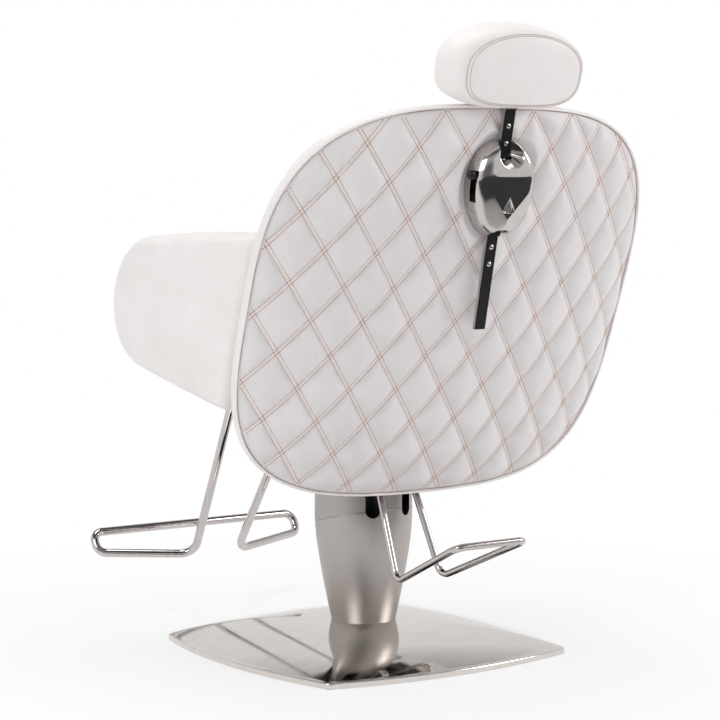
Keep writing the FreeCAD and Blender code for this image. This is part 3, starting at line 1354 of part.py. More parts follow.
def tilt_centre():
    """Centre of the tilt pin in the headrest's frame."""
    world = frame_of(BAR).multVec(Vector(0, size("tilt_level"), 0))
    return frame_of(HEAD).inverse().multVec(world)


def tilt_pin():
    """Cross pin of the headrest."""
    half = size("tongue_half_width + ear_gap + ear_thickness")
    centre = tilt_centre() - Vector(half, 0, 0)
    pin = Part.makeCylinder(size("tilt_pin_radius"), 2 * half, centre, Vector(1, 0, 0))
    modelled("tilt_pin", pin, HEAD)


def headrest_fork():
    """Steel fork let into the pad, with an ear on each side of the tongue."""
    centre = tilt_centre()
    inner = size("tongue_half_width + ear_gap")
    outer = inner + size("ear_thickness")
    deep = size("ear_half_depth")
    roof = size("pocket_height - head_half_height")
    shape = Part.makeBox(2 * outer, roof - centre.y, 2 * deep,
                         Vector(-outer, centre.y, centre.z - deep))
    shape = shape.fuse(Part.makeCylinder(deep, 2 * outer, Vector(-outer, centre.y, centre.z),
                                         Vector(1, 0, 0)))
    gap = Part.makeBox(2 * inner, 4 * deep + roof - centre.y - size("ear_thickness") - 2 * deep,
                       8 * deep, Vector(-inner, centre.y - 2 * deep, centre.z - 4 * deep))
    shape = shape.cut(gap)
    hole = Part.makeCylinder(size("tilt_pin_radius"), 4 * outer,
                             Vector(-2 * outer, centre.y, centre.z), Vector(1, 0, 0))
    modelled("headrest_fork", shape.cut(hole).removeSplitter(), HEAD)


def headrest_pad():
    """Stuffed headrest: a flatter rear panel, a gusset and a crowned front, with a pocket below."""
    points = oval(size("head_half_width"), size("head_half_height"), size("head_upper_power"),
                  size("head_lower_power"))
    rings = [ring(points, share, size("head_half_depth") * depth_share)
             for share, depth_share in HEAD_SHARES]
    shape = Part.makeLoft(rings, True, True)
    centre = tilt_centre()
    wide = size("pocket_half_width")
    deep = size("pocket_half_depth")
    low = -size("head_half_height") - size("overrun")
    hole = Part.makeBox(2 * wide, size("pocket_height + overrun"), 2 * deep,
                        Vector(-wide, low, centre.z - deep))
    modelled("headrest_pad", shape.cut(hole), HEAD)


base_plate()
base_cover()
pump_body()
pump_bolts()
pump_head()
piston_rod()
column_cover()
column_collar()
collar_cap()
pedal()
pedal_shaft()
seat_plate()
seat_bolts()
frame_rails()
side_rail("left_rail", "")
side_rail("right_rail", "-")
seat_board()
seat_cushion()
armrests()
arm_plate("left_arm_plate", "")
arm_plate("right_arm_plate", "-")
arm_bolts()
footrest()
footrest_sockets()
socket_screws()
hinge_plate("left_hinge_plate", "")
hinge_plate("right_hinge_plate", "-")
hinge_pins()
back_bracket("left_back_bracket", 1, True)
back_bracket("right_back_bracket", -1, False)
bracket_screws()
crank_pin()
gas_cylinder()
gas_rod()
gas_anchor()
recline_lever()
lever_grip()
back_board()
back_band()
back_panel()
back_cushion()
lock_base()
lock_housing()
lock_screws()
lock_clamp()
lock_lever()
lever_knob()
head_bar()
bar_strip()
bar_studs()
headrest_tongue()
tilt_pin()
headrest_fork()
headrest_pad()

doc.recompute()
for thing in doc.Objects:
    for state in thing.State:
        if state in ("Invalid", "Error"):
            raise RuntimeError("%s is %s" % (thing.Label, state))
os.makedirs("parts", exist_ok=True)
for label, thing in nodes.items():
    if thing.Shape.isNull() or not thing.Shape.isValid():
        raise RuntimeError("%s has no valid shape" % label)
for label, thing in nodes.items():
    thing.Shape.exportStep("parts/%s.step" % label)
    print("%s: %d solids, %.1f cm3" % (label, len(thing.Shape.Solids), thing.Shape.Volume / 1000))
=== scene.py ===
"""Threading chair for a beauty salon: quilted back, arms, headrest, pump base and footrest."""
import math

import bmesh
import bpy
import numpy as np
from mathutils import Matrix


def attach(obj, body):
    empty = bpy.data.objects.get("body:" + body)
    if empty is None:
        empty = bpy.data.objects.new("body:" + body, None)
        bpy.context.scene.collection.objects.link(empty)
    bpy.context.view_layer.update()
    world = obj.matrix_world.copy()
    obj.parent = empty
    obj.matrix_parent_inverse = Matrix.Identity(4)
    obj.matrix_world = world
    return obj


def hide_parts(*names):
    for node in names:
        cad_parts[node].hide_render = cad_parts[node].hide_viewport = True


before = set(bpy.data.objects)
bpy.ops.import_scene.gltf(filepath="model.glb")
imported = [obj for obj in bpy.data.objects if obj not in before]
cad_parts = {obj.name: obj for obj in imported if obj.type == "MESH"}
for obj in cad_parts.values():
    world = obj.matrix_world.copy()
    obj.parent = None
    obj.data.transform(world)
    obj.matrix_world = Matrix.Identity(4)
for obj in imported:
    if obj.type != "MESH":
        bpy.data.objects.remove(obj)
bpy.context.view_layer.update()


# Base plate: a heavy iron casting, ground flat below and painted black. The pump is bolted
# to it and the cover hides all but its edge.

def linear(colour):
    """sRGB hex to linear light: c / 12.92 up to 0.04045, else ((c + 0.055) / 1.055) ** 2.4."""
    parts = [int(colour[place:place + 2], 16) / 255 for place in (0, 2, 4)]
    return tuple(c / 12.92 if c <= 0.04045 else ((c + 0.055) / 1.055) ** 2.4 for c in parts) + (1,)


def add_node(tree, kind, settings=None, links=None):
    """Add a node, set its properties and socket values, and link its sockets by name or number.
    Map Range has its value at 0, the range it takes at 1 and 2 and the range it gives at 3 and 4;
    Mix has its share at 0 and its two colours at 6 and 7."""
    made = tree.nodes.new(kind)
    for name, value in (settings or {}).items():
        if isinstance(name, str) and hasattr(made, name):
            setattr(made, name, value)
        else:
            made.inputs[name].default_value = value
    for name, source in (links or {}).items():
        tree.links.new(source, made.inputs[name])
    return made


def finish(name, light, dark, grain, rough, lift=0.0, stretch=(1, 1, 1), sockets=None):
    """A material whose noise, of a grain size in mm, mixes two colours, moves the roughness
    between two values and lifts the surface by some mm. Returns the material and its nodes."""
    low, high = 0.3, 0.7
    material = bpy.data.materials.new(name)
    material.use_nodes = True
    tree = material.node_tree
    shader = tree.nodes["Principled BSDF"]
    for socket, value in (sockets or {}).items():
        shader.inputs[socket].default_value = value
    place = add_node(tree, "ShaderNodeTexCoord")
    scale = [1000 / (grain * part) for part in stretch]
    sized = add_node(tree, "ShaderNodeMapping", {"Scale": scale},
                     {"Vector": place.outputs["Object"]})
    noise = add_node(tree, "ShaderNodeTexNoise", {"Scale": 1, "Detail": 5, "Roughness": 0.6},
                     {"Vector": sized.outputs[0]})
    spread = add_node(tree, "ShaderNodeMapRange", {1: low, 2: high}, {0: noise.outputs[0]})
    mixed = add_node(tree, "ShaderNodeMix",
                     {"data_type": "RGBA", 6: linear(light), 7: linear(dark)},
                     {0: spread.outputs[0]})
    worn = add_node(tree, "ShaderNodeMapRange", {1: low, 2: high, 3: rough[0], 4: rough[1]},
                    {0: noise.outputs[0]})
    raised = add_node(tree, "ShaderNodeBump", {"Strength": 1, "Distance": lift / 1000},
                      {"Height": noise.outputs[0]})
    tree.links.new(mixed.outputs[2], shader.inputs["Base Color"])
    tree.links.new(worn.outputs[0], shader.inputs["Roughness"])
    tree.links.new(raised.outputs[0], shader.inputs["Normal"])
    return material, {"tree": tree, "shader": shader, "place": place, "mixed": mixed,
                      "raised": raised}


def dress(material, *nodes):
    """CAD nodes whose shape is right keep it and take a material."""
    for node in nodes:
        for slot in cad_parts[node].material_slots:
            slot.material = material


# Black enamel on sand-cast iron: dull black, with the casting's lumps showing through.
cast_iron_enamel, _ = finish("cast_iron_enamel", "1C1C1E", "111112", 3, (0.45, 0.62), 0.15)
dress(cast_iron_enamel, "base_plate")


# Base cover: pressed from stainless sheet and polished to a mirror, a low dome with a thin
# upright rim, drawn up to a neck under the column.

BASE_HALF_WIDTH, BASE_HALF_DEPTH, BASE_RISE = 251, 256, 36
RIM_LIFT, RIM_HEIGHT, RIM_ROUNDING, COVER_WALL = 0.8, 11, 3.5, 2
NECK_RADIUS, NECK_HOLE, NECK_HEIGHT, DOME_POWER = 62, 50, 50, 2.3
RIM_POINTS, RIM_PASSES = 480, 6
SHARP_ANGLE = 35


def arc_through(start, via, end, count):
    """Points along the circle through three points of a plane, the last one left out. The centre c
    solves 2 (p - start) . c = p . p - start . start for both other points."""
    start, via, end = (np.array(point, float) for point in (start, via, end))
    sides = 2 * np.array([via - start, end - start])
    centre = np.linalg.solve(sides, [via @ via - start @ start, end @ end - start @ start])
    turns = [math.atan2(*(point - centre)[::-1]) for point in (start, via, end)]
    whole = (turns[2] - turns[0]) % math.tau
    if (turns[1] - turns[0]) % math.tau > whole:
        whole -= math.tau
    turn = turns[0] + whole * np.arange(count) / count
    return centre + np.linalg.norm(start - centre) * np.stack([np.cos(turn), np.sin(turn)], -1)


def rounded(loop, passes):
    """A closed loop with its corners eased: each pass takes a quarter of both neighbours."""
    for _ in range(passes):
        loop = (np.roll(loop, 1, 0) + 2 * loop + np.roll(loop, -1, 0)) / 4
    return loop


def drawn_in(loop, inset):
    """A loop drawn in towards the middle by an inset: p (1 - inset / |p|)."""
    return loop * (1 - inset / np.linalg.norm(loop, axis=1, keepdims=True))


def at_level(flat, level):
    """Points of a plane with a level as their third value."""
    return np.concatenate([flat, np.full((len(flat), 1), level)], 1)


def quads_over(index):
    """Quads over a grid of vertex numbers: two neighbours of a row, and the two after them."""
    corners = [index[:-1, :-1], index[:-1, 1:], index[1:, 1:], index[1:, :-1]]
    return np.stack(corners, -1).reshape(-1, 4).tolist()


def surface(name, points, wrap_rows=False):
    """A mesh of quads over points[row, column] in mm. The last column joins the first, and where
    rows wrap, so do they; rows that shrink to a point become poles when doubles are merged."""
    rows, columns = points.shape[:2]
    index = np.arange(rows * columns).reshape(rows, columns)
    index = np.concatenate([index, index[:, :1]], 1)
    if wrap_rows:
        index = np.concatenate([index, index[:1]], 0)
    return solid(name, points.reshape(-1, 3), quads_over(index))


def smooth(mesh, sharp):
    """Smooth shading, with the edges over an angle kept sharp."""
    mesh.polygons.foreach_set("use_smooth", np.ones(len(mesh.polygons), bool))
    mesh.set_sharp_from_angle(angle=math.radians(sharp))


def solid(name, points, faces, sharp=SHARP_ANGLE):
    """A smooth mesh object of points in mm, with doubles merged and faces turned outwards."""
    mesh = bpy.data.meshes.new(name)
    mesh.from_pydata((points / 1000).tolist(), [], faces)
    work = bmesh.new()
    work.from_mesh(mesh)
    bmesh.ops.remove_doubles(work, verts=work.verts, dist=1e-6)
    bmesh.ops.dissolve_degenerate(work, edges=work.edges, dist=1e-7)
    bmesh.ops.recalc_face_normals(work, faces=work.faces)
    work.to_mesh(mesh)
    work.free()
    smooth(mesh, sharp)
    made = bpy.data.objects.new(name, mesh)
    bpy.context.scene.collection.objects.link(made)
    return made


def fit(piece, material, body, slot, *nodes):
    """A finished piece takes its material, rides on its body and stands for CAD nodes."""
    piece.data.materials.append(material)
    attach(piece, body)
    if nodes:
        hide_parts(*nodes)
    return piece


side = BASE_HALF_WIDTH + BASE_RISE
end = BASE_HALF_DEPTH + BASE_RISE
corners = [(BASE_HALF_WIDTH, -BASE_HALF_DEPTH), (BASE_HALF_WIDTH, BASE_HALF_DEPTH),
           (-BASE_HALF_WIDTH, BASE_HALF_DEPTH), (-BASE_HALF_WIDTH, -BASE_HALF_DEPTH)]
middles = [(side, 0), (0, end), (-side, 0), (0, -end)]
rim = np.concatenate([arc_through(corners[k], middles[k], corners[(k + 1) % 4], RIM_POINTS // 4)
                      for k in range(4)])
rim = rounded(rim, RIM_PASSES)


def rim_row(inset, level):
    """The rim's loop, drawn in by an inset, at a level."""
    return at_level(drawn_in(rim, inset), level)


def dome_rows(inset, drop, shares):
    """Rows from the rim, where s = 1, to the neck: level = rim + (neck - rim) (1 - s ** power)."""
    outer = drawn_in(rim, inset)
    ring = (NECK_RADIUS - drop) * outer / np.linalg.norm(outer, axis=1, keepdims=True)
    s = shares[:, None, None]
    flat = ring * (1 - s) + outer * s
    level = RIM_HEIGHT + (NECK_HEIGHT - RIM_HEIGHT) * (1 - s ** DOME_POWER) - drop
    return np.concatenate([flat, np.broadcast_to(level, flat.shape[:2] + (1,))], 2)


edge = [rim_row(RIM_ROUNDING * (1 - math.cos(t)), RIM_HEIGHT - RIM_ROUNDING * (1 - math.sin(t)))
        for t in np.linspace(0, math.pi / 2, 7)]
hole = rim / np.linalg.norm(rim, axis=1, keepdims=True) * NECK_HOLE
neck = [at_level(hole, NECK_HEIGHT - drop) for drop in (0, COVER_WALL)]
outside = dome_rows(RIM_ROUNDING, 0, np.linspace(1, 0, 44)[1:])
inside = dome_rows(RIM_ROUNDING + COVER_WALL, COVER_WALL, np.linspace(0, 1, 16))
cover = np.concatenate([[rim_row(0, RIM_LIFT)], edge, outside, neck, inside,
                        [rim_row(COVER_WALL, RIM_HEIGHT - 2 * COVER_WALL),
                         rim_row(COVER_WALL, RIM_LIFT)]])
# Mirror-polished stainless: warm grey, with the faint cloudy streaks that wiping leaves.
mirror_stainless, _ = finish("mirror_stainless", "DED8D3", "D6D0CB", 60, (0.06, 0.11), 0.0,
                             (1, 0.25, 1), {"Metallic": 1})
fit(surface("base_cover_sheet", cover, wrap_rows=True), mirror_stainless,
    "base", "mirror_steel", "base_cover")


# Pump and lift rod: a black steel cylinder bolted to the plate, and the ground rod in it that
# lifts the seat. Both are hidden by the column's cover until the seat goes up.

# Black powder coat: a fine orange peel of about 1.5 mm, and a satin shine.
powder_coat, _ = finish("powder_coat", "232326", "19191B", 1.5, (0.38, 0.5), 0.03)
# Zinc plate on bolts: pale blue-grey, patchy where the bath left it.
zinc_plate, _ = finish("zinc_plate", "B9BCC0", "8F9397", 4, (0.28, 0.45), 0.01, (1, 1, 1),
                       {"Metallic": 1})
# Hard chrome on round bar: a near mirror with faint polishing marks along it.
chrome_plate, _ = finish("chrome_plate", "CCC6C4", "C0BAB8", 9, (0.05, 0.1), 0.0, (1, 1, 4),
                         {"Metallic": 1})
dress(powder_coat, "pump_body", "pump_head", "collar_cap")
dress(zinc_plate, "pump_bolts", "pedal_shaft")
dress(chrome_plate, "piston_rod")


# Column cover and collar: two spun stainless shells, a vase below and a sleeve above its
# slanted seam, brushed round the axis. Two slots let the pedal's arms out behind.

COLUMN_WALL, COLUMN_FOOT, SLEEVE_RADIUS, SLEEVE_LEVEL = 2, 50, 86, 300
SEAM_LEVEL, SEAM_LEAN, SEAM_RADIUS, SEAM_EASE = 234.5, 13.9, 85.7, 0.9
VASE_LOW = [(56.3, COLUMN_FOOT), (68.8, 109), (81.8, 185)]
VASE_HIGH = [(81.8, 185), (84.9, 215), (SLEEVE_RADIUS, 250)]
SLOT_SPREAD, SLOT_HALF_WIDTH, SLOT_FOOT, SLOT_RISE = 35, 12, 240, 90
SLOT_NEAR, SLOT_FAR = 20, 120


def cut_by(piece, cutters):
    """The piece less its cutters, which are then dropped."""
    for cutter in cutters:
        change = piece.modifiers.new("cut", "BOOLEAN")
        change.solver = "EXACT"
        change.object = cutter
    cut = piece.evaluated_get(bpy.context.evaluated_depsgraph_get())
    left = bpy.data.meshes.new_from_object(cut)
    piece.modifiers.clear()
    piece.data = left
    smooth(left, SHARP_ANGLE)
    for cutter in cutters:
        bpy.data.objects.remove(cutter)
    return piece


def prism(flat, near, far, axis):
    """A closed prism: a loop of points of the plane across an axis, 0 for x and 1 for y, carried
    along that axis from near to far."""
    ends = [np.insert(flat, axis, level, axis=1) for level in (near, far)]
    count = len(flat)
    k = np.arange(count)
    walls = np.stack([k, (k + 1) % count, count + (k + 1) % count, count + k], -1).tolist()
    return solid("cutter", np.concatenate(ends), walls + [k[::-1].tolist(), (k + count).tolist()])


spun = np.concatenate([arc_through(*VASE_LOW, 40), arc_through(*VASE_HIGH, 24),
                       [VASE_HIGH[-1], (SLEEVE_RADIUS, SLEEVE_LEVEL)]])
turn = np.linspace(0, math.tau, 180, endpoint=False)
seam = SEAM_LEVEL + math.tan(math.radians(SEAM_LEAN)) * SEAM_RADIUS * np.sin(turn)
# Rows up the outside, over the eased rim and down the inside: share of the height to the seam,
# drop below it and inset.
outer_wall = [(share, 0, 0) for share in np.linspace(0, 0.98, 40)]
eased_rim = [(1, SEAM_EASE, 0), (1, SEAM_EASE / 3, SEAM_EASE / 3), (1, 0, SEAM_EASE)]
inner_wall = [(share, 0, COLUMN_WALL) for share in np.linspace(1, 0, 30)]
shell = []
for share, drop, inset in outer_wall + eased_rim + inner_wall:
    level = COLUMN_FOOT + share * (seam - drop - COLUMN_FOOT)
    radius = np.interp(level, spun[:, 1], spun[:, 0]) - inset
    shell.append(np.stack([radius * np.cos(turn), radius * np.sin(turn), level], -1))
round_end = np.linspace(math.pi, math.tau, 17)
slots = []
for hand in (-1, 1):
    foot = np.stack([hand * SLOT_SPREAD + SLOT_HALF_WIDTH * np.cos(round_end),
                     SLOT_FOOT + SLOT_HALF_WIDTH * (1 + np.sin(round_end))], -1)
    top = [(foot[-1, 0], SLOT_FOOT + SLOT_RISE), (foot[0, 0], SLOT_FOOT + SLOT_RISE)]
    slots.append(prism(np.concatenate([foot, top]), SLOT_NEAR, SLOT_FAR, 1))
cover_shell = cut_by(surface("column_cover_shell", np.array(shell), wrap_rows=True), slots)
# Stainless brushed round the axis, satin; the brush marks are drawn about 2 mm tall, coarser
# than the real ones, so that they show.
brushed_stainless, _ = finish("brushed_stainless", "BAB4B0", "B3ADA9", 2, (0.35, 0.41), 0.001,
                              (40, 40, 0.5), {"Metallic": 1, "Anisotropic": 0.4})
# The collar's stainless has the same satin and is a little darker.
rubbed_stainless, _ = finish("rubbed_stainless", "B2ABA7", "ABA4A0", 2, (0.34, 0.40), 0.001,
                             (40, 40, 0.5), {"Metallic": 1, "Anisotropic": 0.3})
fit(cover_shell, brushed_stainless, "base", "stainless", "column_cover")
dress(rubbed_stainless, "column_collar")


# Pump pedal: one chromed bar bent to a fork and a loop, turning on a cross shaft in the pump.
dress(chrome_plate, "pedal")


# Seat frame: a plate on the lift rod, square tubes welded round it and bolted through, all
# powder coated black and hidden under the seat.
dress(powder_coat, "seat_plate", "front_rail", "rear_rail", "front_cross_rail", "rear_cross_rail",
      "left_rail", "right_rail", "left_foot_rail", "right_foot_rail")
dress(zinc_plate, "seat_bolts")


# Footrest: one chromed tube bent to two loops, held under the front rail by screwed sockets.
dress(chrome_plate, "footrest", "footrest_sockets")
dress(zinc_plate, "socket_screws")


# Seat: foam on a plywood board under white leathercloth, crowned on top, with a seam round
# the top panel.

SEAT_HALF_WIDTH, SEAT_HALF_DEPTH, SEAT_MIDDLE = 248.5, 230.5, -78.5
SEAT_FLOOR, SEAT_CROWN, SEAT_POWER = 480.3, 72, 6.5
SEAM_PINCH, PROFILE_ROWS = 0.006, 90
PEBBLE, PEBBLE_DEPTH = 1.613, 0.08


def through(at, marks, values):
    """A smooth line through values at marks: cubic pieces whose slopes come from the neighbours."""
    marks = np.asarray(marks, float)
    values = np.asarray(values, float)
    slopes = np.gradient(values, marks)
    k = np.clip(np.searchsorted(marks, at) - 1, 0, len(marks) - 2)
    gap = marks[k + 1] - marks[k]
    t = (at - marks[k]) / gap
    return ((2 * t ** 3 - 3 * t ** 2 + 1) * values[k] + (t ** 3 - 2 * t ** 2 + t) * gap * slopes[k]
            + (3 * t ** 2 - 2 * t ** 3) * values[k + 1] + (t ** 3 - t ** 2) * gap * slopes[k + 1])


def groove(step, mark, width):
    """A seam's groove across a profile: exp(-((step - mark) / width) ** 2), 1 on the mark."""
    return np.exp(-((step - mark) / width) ** 2)


def evenly(loop, count):
    """A closed loop's points set again at equal steps of its length."""
    closed = np.concatenate([loop, loop[:1]])
    run = np.concatenate([[0], np.cumsum(np.linalg.norm(np.diff(closed, axis=0), axis=1))])
    even = np.linspace(0, run[-1], count, endpoint=False)
    return np.stack([np.interp(even, run, closed[:, 0]), np.interp(even, run, closed[:, 1])], -1)


def oval(half_width, half_height, upper, lower, taper, count):
    """A superellipse: x = w sign(cos) |cos| ** (2 / n), y = h sign(sin) |sin| ** (2 / n), with a
    power n of its own above and below, wider upwards by the taper; points evenly spaced."""
    turn = np.linspace(0, math.tau, 8 * count, endpoint=False)
    power = np.where(np.sin(turn) > 0, 2 / upper, 2 / lower)
    x = half_width * np.sign(np.cos(turn)) * np.abs(np.cos(turn)) ** power
    y = half_height * np.sign(np.sin(turn)) * np.abs(np.sin(turn)) ** power
    return evenly(np.stack([x * (1 + taper * y / half_height), y], -1), count)


def stacked(loop, shares, levels):
    """Rows of a stuffed form: the loop scaled by each share at each level."""
    flat = loop[None] * np.asarray(shares)[:, None, None]
    level = np.broadcast_to(np.asarray(levels)[:, None, None], flat.shape[:2] + (1,))
    return np.concatenate([flat, level], 2)


def leathercloth(name, light, dark):
    """Vinyl leathercloth: soft-white skin embossed with pebbles of about 1.6 mm between fine
    valleys, and slow drifts of tone where it is stretched or handled."""
    material, parts = finish(name, light, dark, 90, (0.40, 0.50), 0.0, (1, 1, 1),
                             {"Specular IOR Level": 0.45, "Sheen Weight": 0.15,
                              "Sheen Roughness": 0.4})
    tree = parts["tree"]
    pebbles = add_node(tree, "ShaderNodeTexVoronoi",
                       {"feature": "DISTANCE_TO_EDGE", "Scale": 1000 / PEBBLE, "Randomness": 0.9},
                       {"Vector": parts["place"].outputs["Object"]})
    valleys = add_node(tree, "ShaderNodeMapRange", {1: 0.0, 2: 0.25}, {0: pebbles.outputs[0]})
    grain = add_node(tree, "ShaderNodeBump", {"Strength": 0.35, "Distance": PEBBLE_DEPTH / 1000},
                     {"Height": valleys.outputs[0], "Normal": parts["raised"].outputs[0]})
    tree.links.new(grain.outputs[0], parts["shader"].inputs["Normal"])
    return material, parts


white_leathercloth, _ = leathercloth("white_leathercloth", "F8F4F1", "F2EDE9")
# Birch plywood, cut square and sealed: pale brown with the plies' lines along its edges.
birch_plywood, _ = finish("birch_plywood", "D8B98C", "B58F5E", 40, (0.5, 0.65), 0.05,
                          (3, 1, 0.05))
dress(birch_plywood, "back_board")
# Black non-woven lining stapled under the seat's board, its black painted shade for the dark
# under the arms and in the base's mirror: dull, with a felted surface.
black_lining_painted_shade, _ = finish("black_lining_painted_shade", "232224", "19181A", 1.8, (0.8, 0.95), 0.08)
dress(black_lining_painted_shade, "seat_board")

# Marks of the profile: the middle of the underside, the tuck, the side, the seam and the crown.
SEAT_SHARES = (0, 0.9, 0.975, 1, 1.003, 1, 0.985, 0.95, 0.86, 0.7, 0.45, 0)
SEAT_LEVELS = (0, 0, 0.015, 0.14, 0.35, 0.55, 0.72, 0.84, 0.925, 0.97, 0.992, 1)
SEAT_SEAM, SEAT_SEAM_WIDTH = 5.4, 0.14
step = np.linspace(0, len(SEAT_SHARES) - 1, PROFILE_ROWS)
shares = through(step, range(len(SEAT_SHARES)), SEAT_SHARES)
levels = through(step, range(len(SEAT_LEVELS)), SEAT_LEVELS)
shares = np.clip(shares - SEAM_PINCH * groove(step, SEAT_SEAM, SEAT_SEAM_WIDTH), 0, None)
seat_loop = oval(SEAT_HALF_WIDTH, SEAT_HALF_DEPTH, SEAT_POWER, SEAT_POWER, 0, 320)
seat = stacked(seat_loop, shares, levels * SEAT_CROWN) + np.array([0, SEAT_MIDDLE, SEAT_FLOOR])
seat_pad = fit(surface("seat_pad", seat), white_leathercloth, "seat", "smooth_leather",
               "seat_cushion")


# Arms: foam slabs under the same leathercloth, rounded all round, that follow the back's slope
# behind and roll over in front. A steel plate carries each from the frame.

ARM_INNER, ARM_OUTER, ARM_ROUNDING, ARM_BELLY, ARM_CROWN = 258.3, 372, 25, 2.0, 3.0
ARM_CORNERS = [(219.5, 735), (-127.6, 728), (-238.5, 640), (-160, 502), (121.5, 447)]
ARM_VIAS = [(42.92, 735.5), (-196.5, 701.2), (-228.5, 551), (-16.5, 471.5), (171, 592)]
ARM_POINTS, ARM_PASSES = 300, 12

# Five arcs, each from a corner through its via point to the next corner, as (y, z) from the side.
loop = np.concatenate([arc_through(ARM_CORNERS[k], ARM_VIAS[k], ARM_CORNERS[(k + 1) % 5], 160)
                       for k in range(5)])
loop = rounded(evenly(loop, ARM_POINTS), ARM_PASSES)
middle = loop.mean(0)
inward = (middle - loop) / np.linalg.norm(middle - loop, axis=1, keepdims=True)


def arm_rows(loop, inward, middle):
    """Rows from the inner face's middle over both rounded edges to the outer face's middle: the
    edge's inset is r (1 - sin t) and its offset r (1 - cos t); each face closes on its middle."""
    rows = []
    turns = np.linspace(0, math.pi / 2, 10)
    drawn = loop + inward * ARM_ROUNDING
    for k in np.linspace(1, 0, 14)[:-1]:
        rows.append((drawn * (1 - k) + middle * k, ARM_INNER))
    for t in turns:
        rows.append((loop + inward * ARM_ROUNDING * (1 - math.sin(t)),
                     ARM_INNER + ARM_ROUNDING * (1 - math.cos(t))))
    for k in np.linspace(0, 1, 10)[1:-1]:
        rows.append((loop - inward * ARM_BELLY * math.sin(math.pi * k),
                     ARM_INNER + ARM_ROUNDING
                     + (ARM_OUTER - ARM_INNER - 2 * ARM_ROUNDING) * k))
    for t in turns[::-1]:
        rows.append((loop + inward * ARM_ROUNDING * (1 - math.sin(t)),
                     ARM_OUTER - ARM_ROUNDING * (1 - math.cos(t))))
    for k in np.linspace(0, 1, 14)[1:]:
        rows.append((drawn * (1 - k) + middle * k, ARM_OUTER + ARM_CROWN * (1 - (1 - k) ** 2)))
    return np.stack([np.concatenate([np.full((len(flat), 1), x), flat], 1) for flat, x in rows])


arm = arm_rows(loop, inward, middle)
for name, hand in (("left", 1), ("right", -1)):
    pad = fit(surface(name + "_arm_pad", arm * (hand, 1, 1)), white_leathercloth, "seat",
              "smooth_leather", name + "_armrest")
dress(powder_coat, "left_arm_plate", "right_arm_plate")
dress(zinc_plate, "arm_bolts")


# Recline hinge, gas spring and release lever under the seat: plates and brackets in black
# powder coat, a black spring with a chromed rod, and a lever with a moulded grip.

# Black moulded plastic with a fine spark-eroded texture of about 0.8 mm.
moulded_grip, _ = finish("moulded_grip", "1B1B1C", "141415", 0.8, (0.42, 0.55), 0.04)
dress(powder_coat, "left_hinge_plate", "right_hinge_plate", "gas_anchor", "gas_cylinder",
      "left_back_bracket", "right_back_bracket", "recline_lever")
dress(zinc_plate, "hinge_pins", "bracket_screws", "crank_pin")
dress(chrome_plate, "gas_rod")
dress(moulded_grip, "lever_grip")


# Back: a bowed plywood shell. Leathercloth wraps its edge and lines its front; a crowned
# quilted panel is sewn to that band behind, and a stuffed cushion sits in front.

BACK_PLACE, BACK_LEAN = (0, 281, 616), 19.1
BACK_HALF_WIDTH, BACK_HALF_HEIGHT, BACK_TAPER = 391.5, 342, 0.011
BACK_UPPER, BACK_LOWER = 2.92, 3.68
BOW_RADIUS, PANEL_CROWN, CROWN_POWER = 1667, 25, 5
BAND_DEPTH, SEAM_INSET = 20, 3.5
FRONT_HALF_WIDTH, FRONT_HALF_HEIGHT, FRONT_MIDDLE = 366, 251, 69
FRONT_CROWN, FRONT_POWER, FRONT_GAP = 62, 3.2, 2.6


def leaned(points, place, lean):
    """Points of a leaning part in the row frame: its x runs right as seen from behind, its y up
    the slope and its z out of its back."""
    x, y, z = np.moveaxis(points, -1, 0)
    c = math.cos(math.radians(lean))
    s = math.sin(math.radians(lean))
    return np.stack([place[0] - x, place[1] + y * s + z * c, place[2] + y * c - z * s], -1)


def unleaned(points, place, lean):
    """The leaning part's own x, y and z of points in the row frame."""
    x, y, z = np.moveaxis(points - np.array(place, float), -1, 0)
    c = math.cos(math.radians(lean))
    s = math.sin(math.radians(lean))
    return np.stack([-x, y * s + z * c, y * c - z * s], -1)


def sag(x):
    """How far the bowed back falls away at x: r - sqrt(r * r - x * x)."""
    return BOW_RADIUS - np.sqrt(BOW_RADIUS ** 2 - x ** 2)


def reach(x, y):
    """Share of the back's outline that a point lies at: 0 in the middle and 1 on the outline."""
    power = np.where(y > 0, BACK_UPPER, BACK_LOWER)
    x = x / (1 + BACK_TAPER * y / BACK_HALF_HEIGHT)
    return (np.abs(x / BACK_HALF_WIDTH) ** power
            + np.abs(y / BACK_HALF_HEIGHT) ** power) ** (1 / power)


def bowed(rows):
    """Rows bent with the back: each point falls by the sag at its x."""
    return rows - np.stack([0 * rows[..., 0], 0 * rows[..., 0], sag(rows[..., 0])], -1)


back_loop = oval(BACK_HALF_WIDTH, BACK_HALF_HEIGHT, BACK_UPPER, BACK_LOWER, BACK_TAPER, 640)


# The band's (inset, level) from under the panel's seam, round the bulging edge, to the lining.
BAND_PROFILE = [(24, -6), (14, -5), (SEAM_INSET + 2, -4), (SEAM_INSET + 0.6, -2.6),
                (SEAM_INSET, -0.6), (2.7, 0.8), (1.5, 1.2), (0.2, 0.6), (-0.8, -1.2), (-1.3, -4),
                (-1.2, -7.5), (-0.6, -11), (0.6, -14.5), (2.6, -18), (5.4, -20.6), (9, -22),
                (14, -22.4)]
outer_rows = [at_level(drawn_in(back_loop, inset), level) for inset, level in BAND_PROFILE]
lining = [at_level(outer_rows[-1][:, :2] * share, BAND_PROFILE[-1][1])
          for share in np.linspace(1, 0, 22)[1:]]
under = [at_level(outer_rows[0][:, :2] * share, BAND_PROFILE[0][1])
         for share in np.linspace(0, 1, 12)[:-1]]
band = bowed(np.concatenate([under, outer_rows, lining]))
# The band's leathercloth is the smooth white of the arms.
band_piece = fit(surface("back_edge_band", leaned(band, BACK_PLACE, BACK_LEAN)),
                 white_leathercloth, "back", "smooth_leather", "back_band")

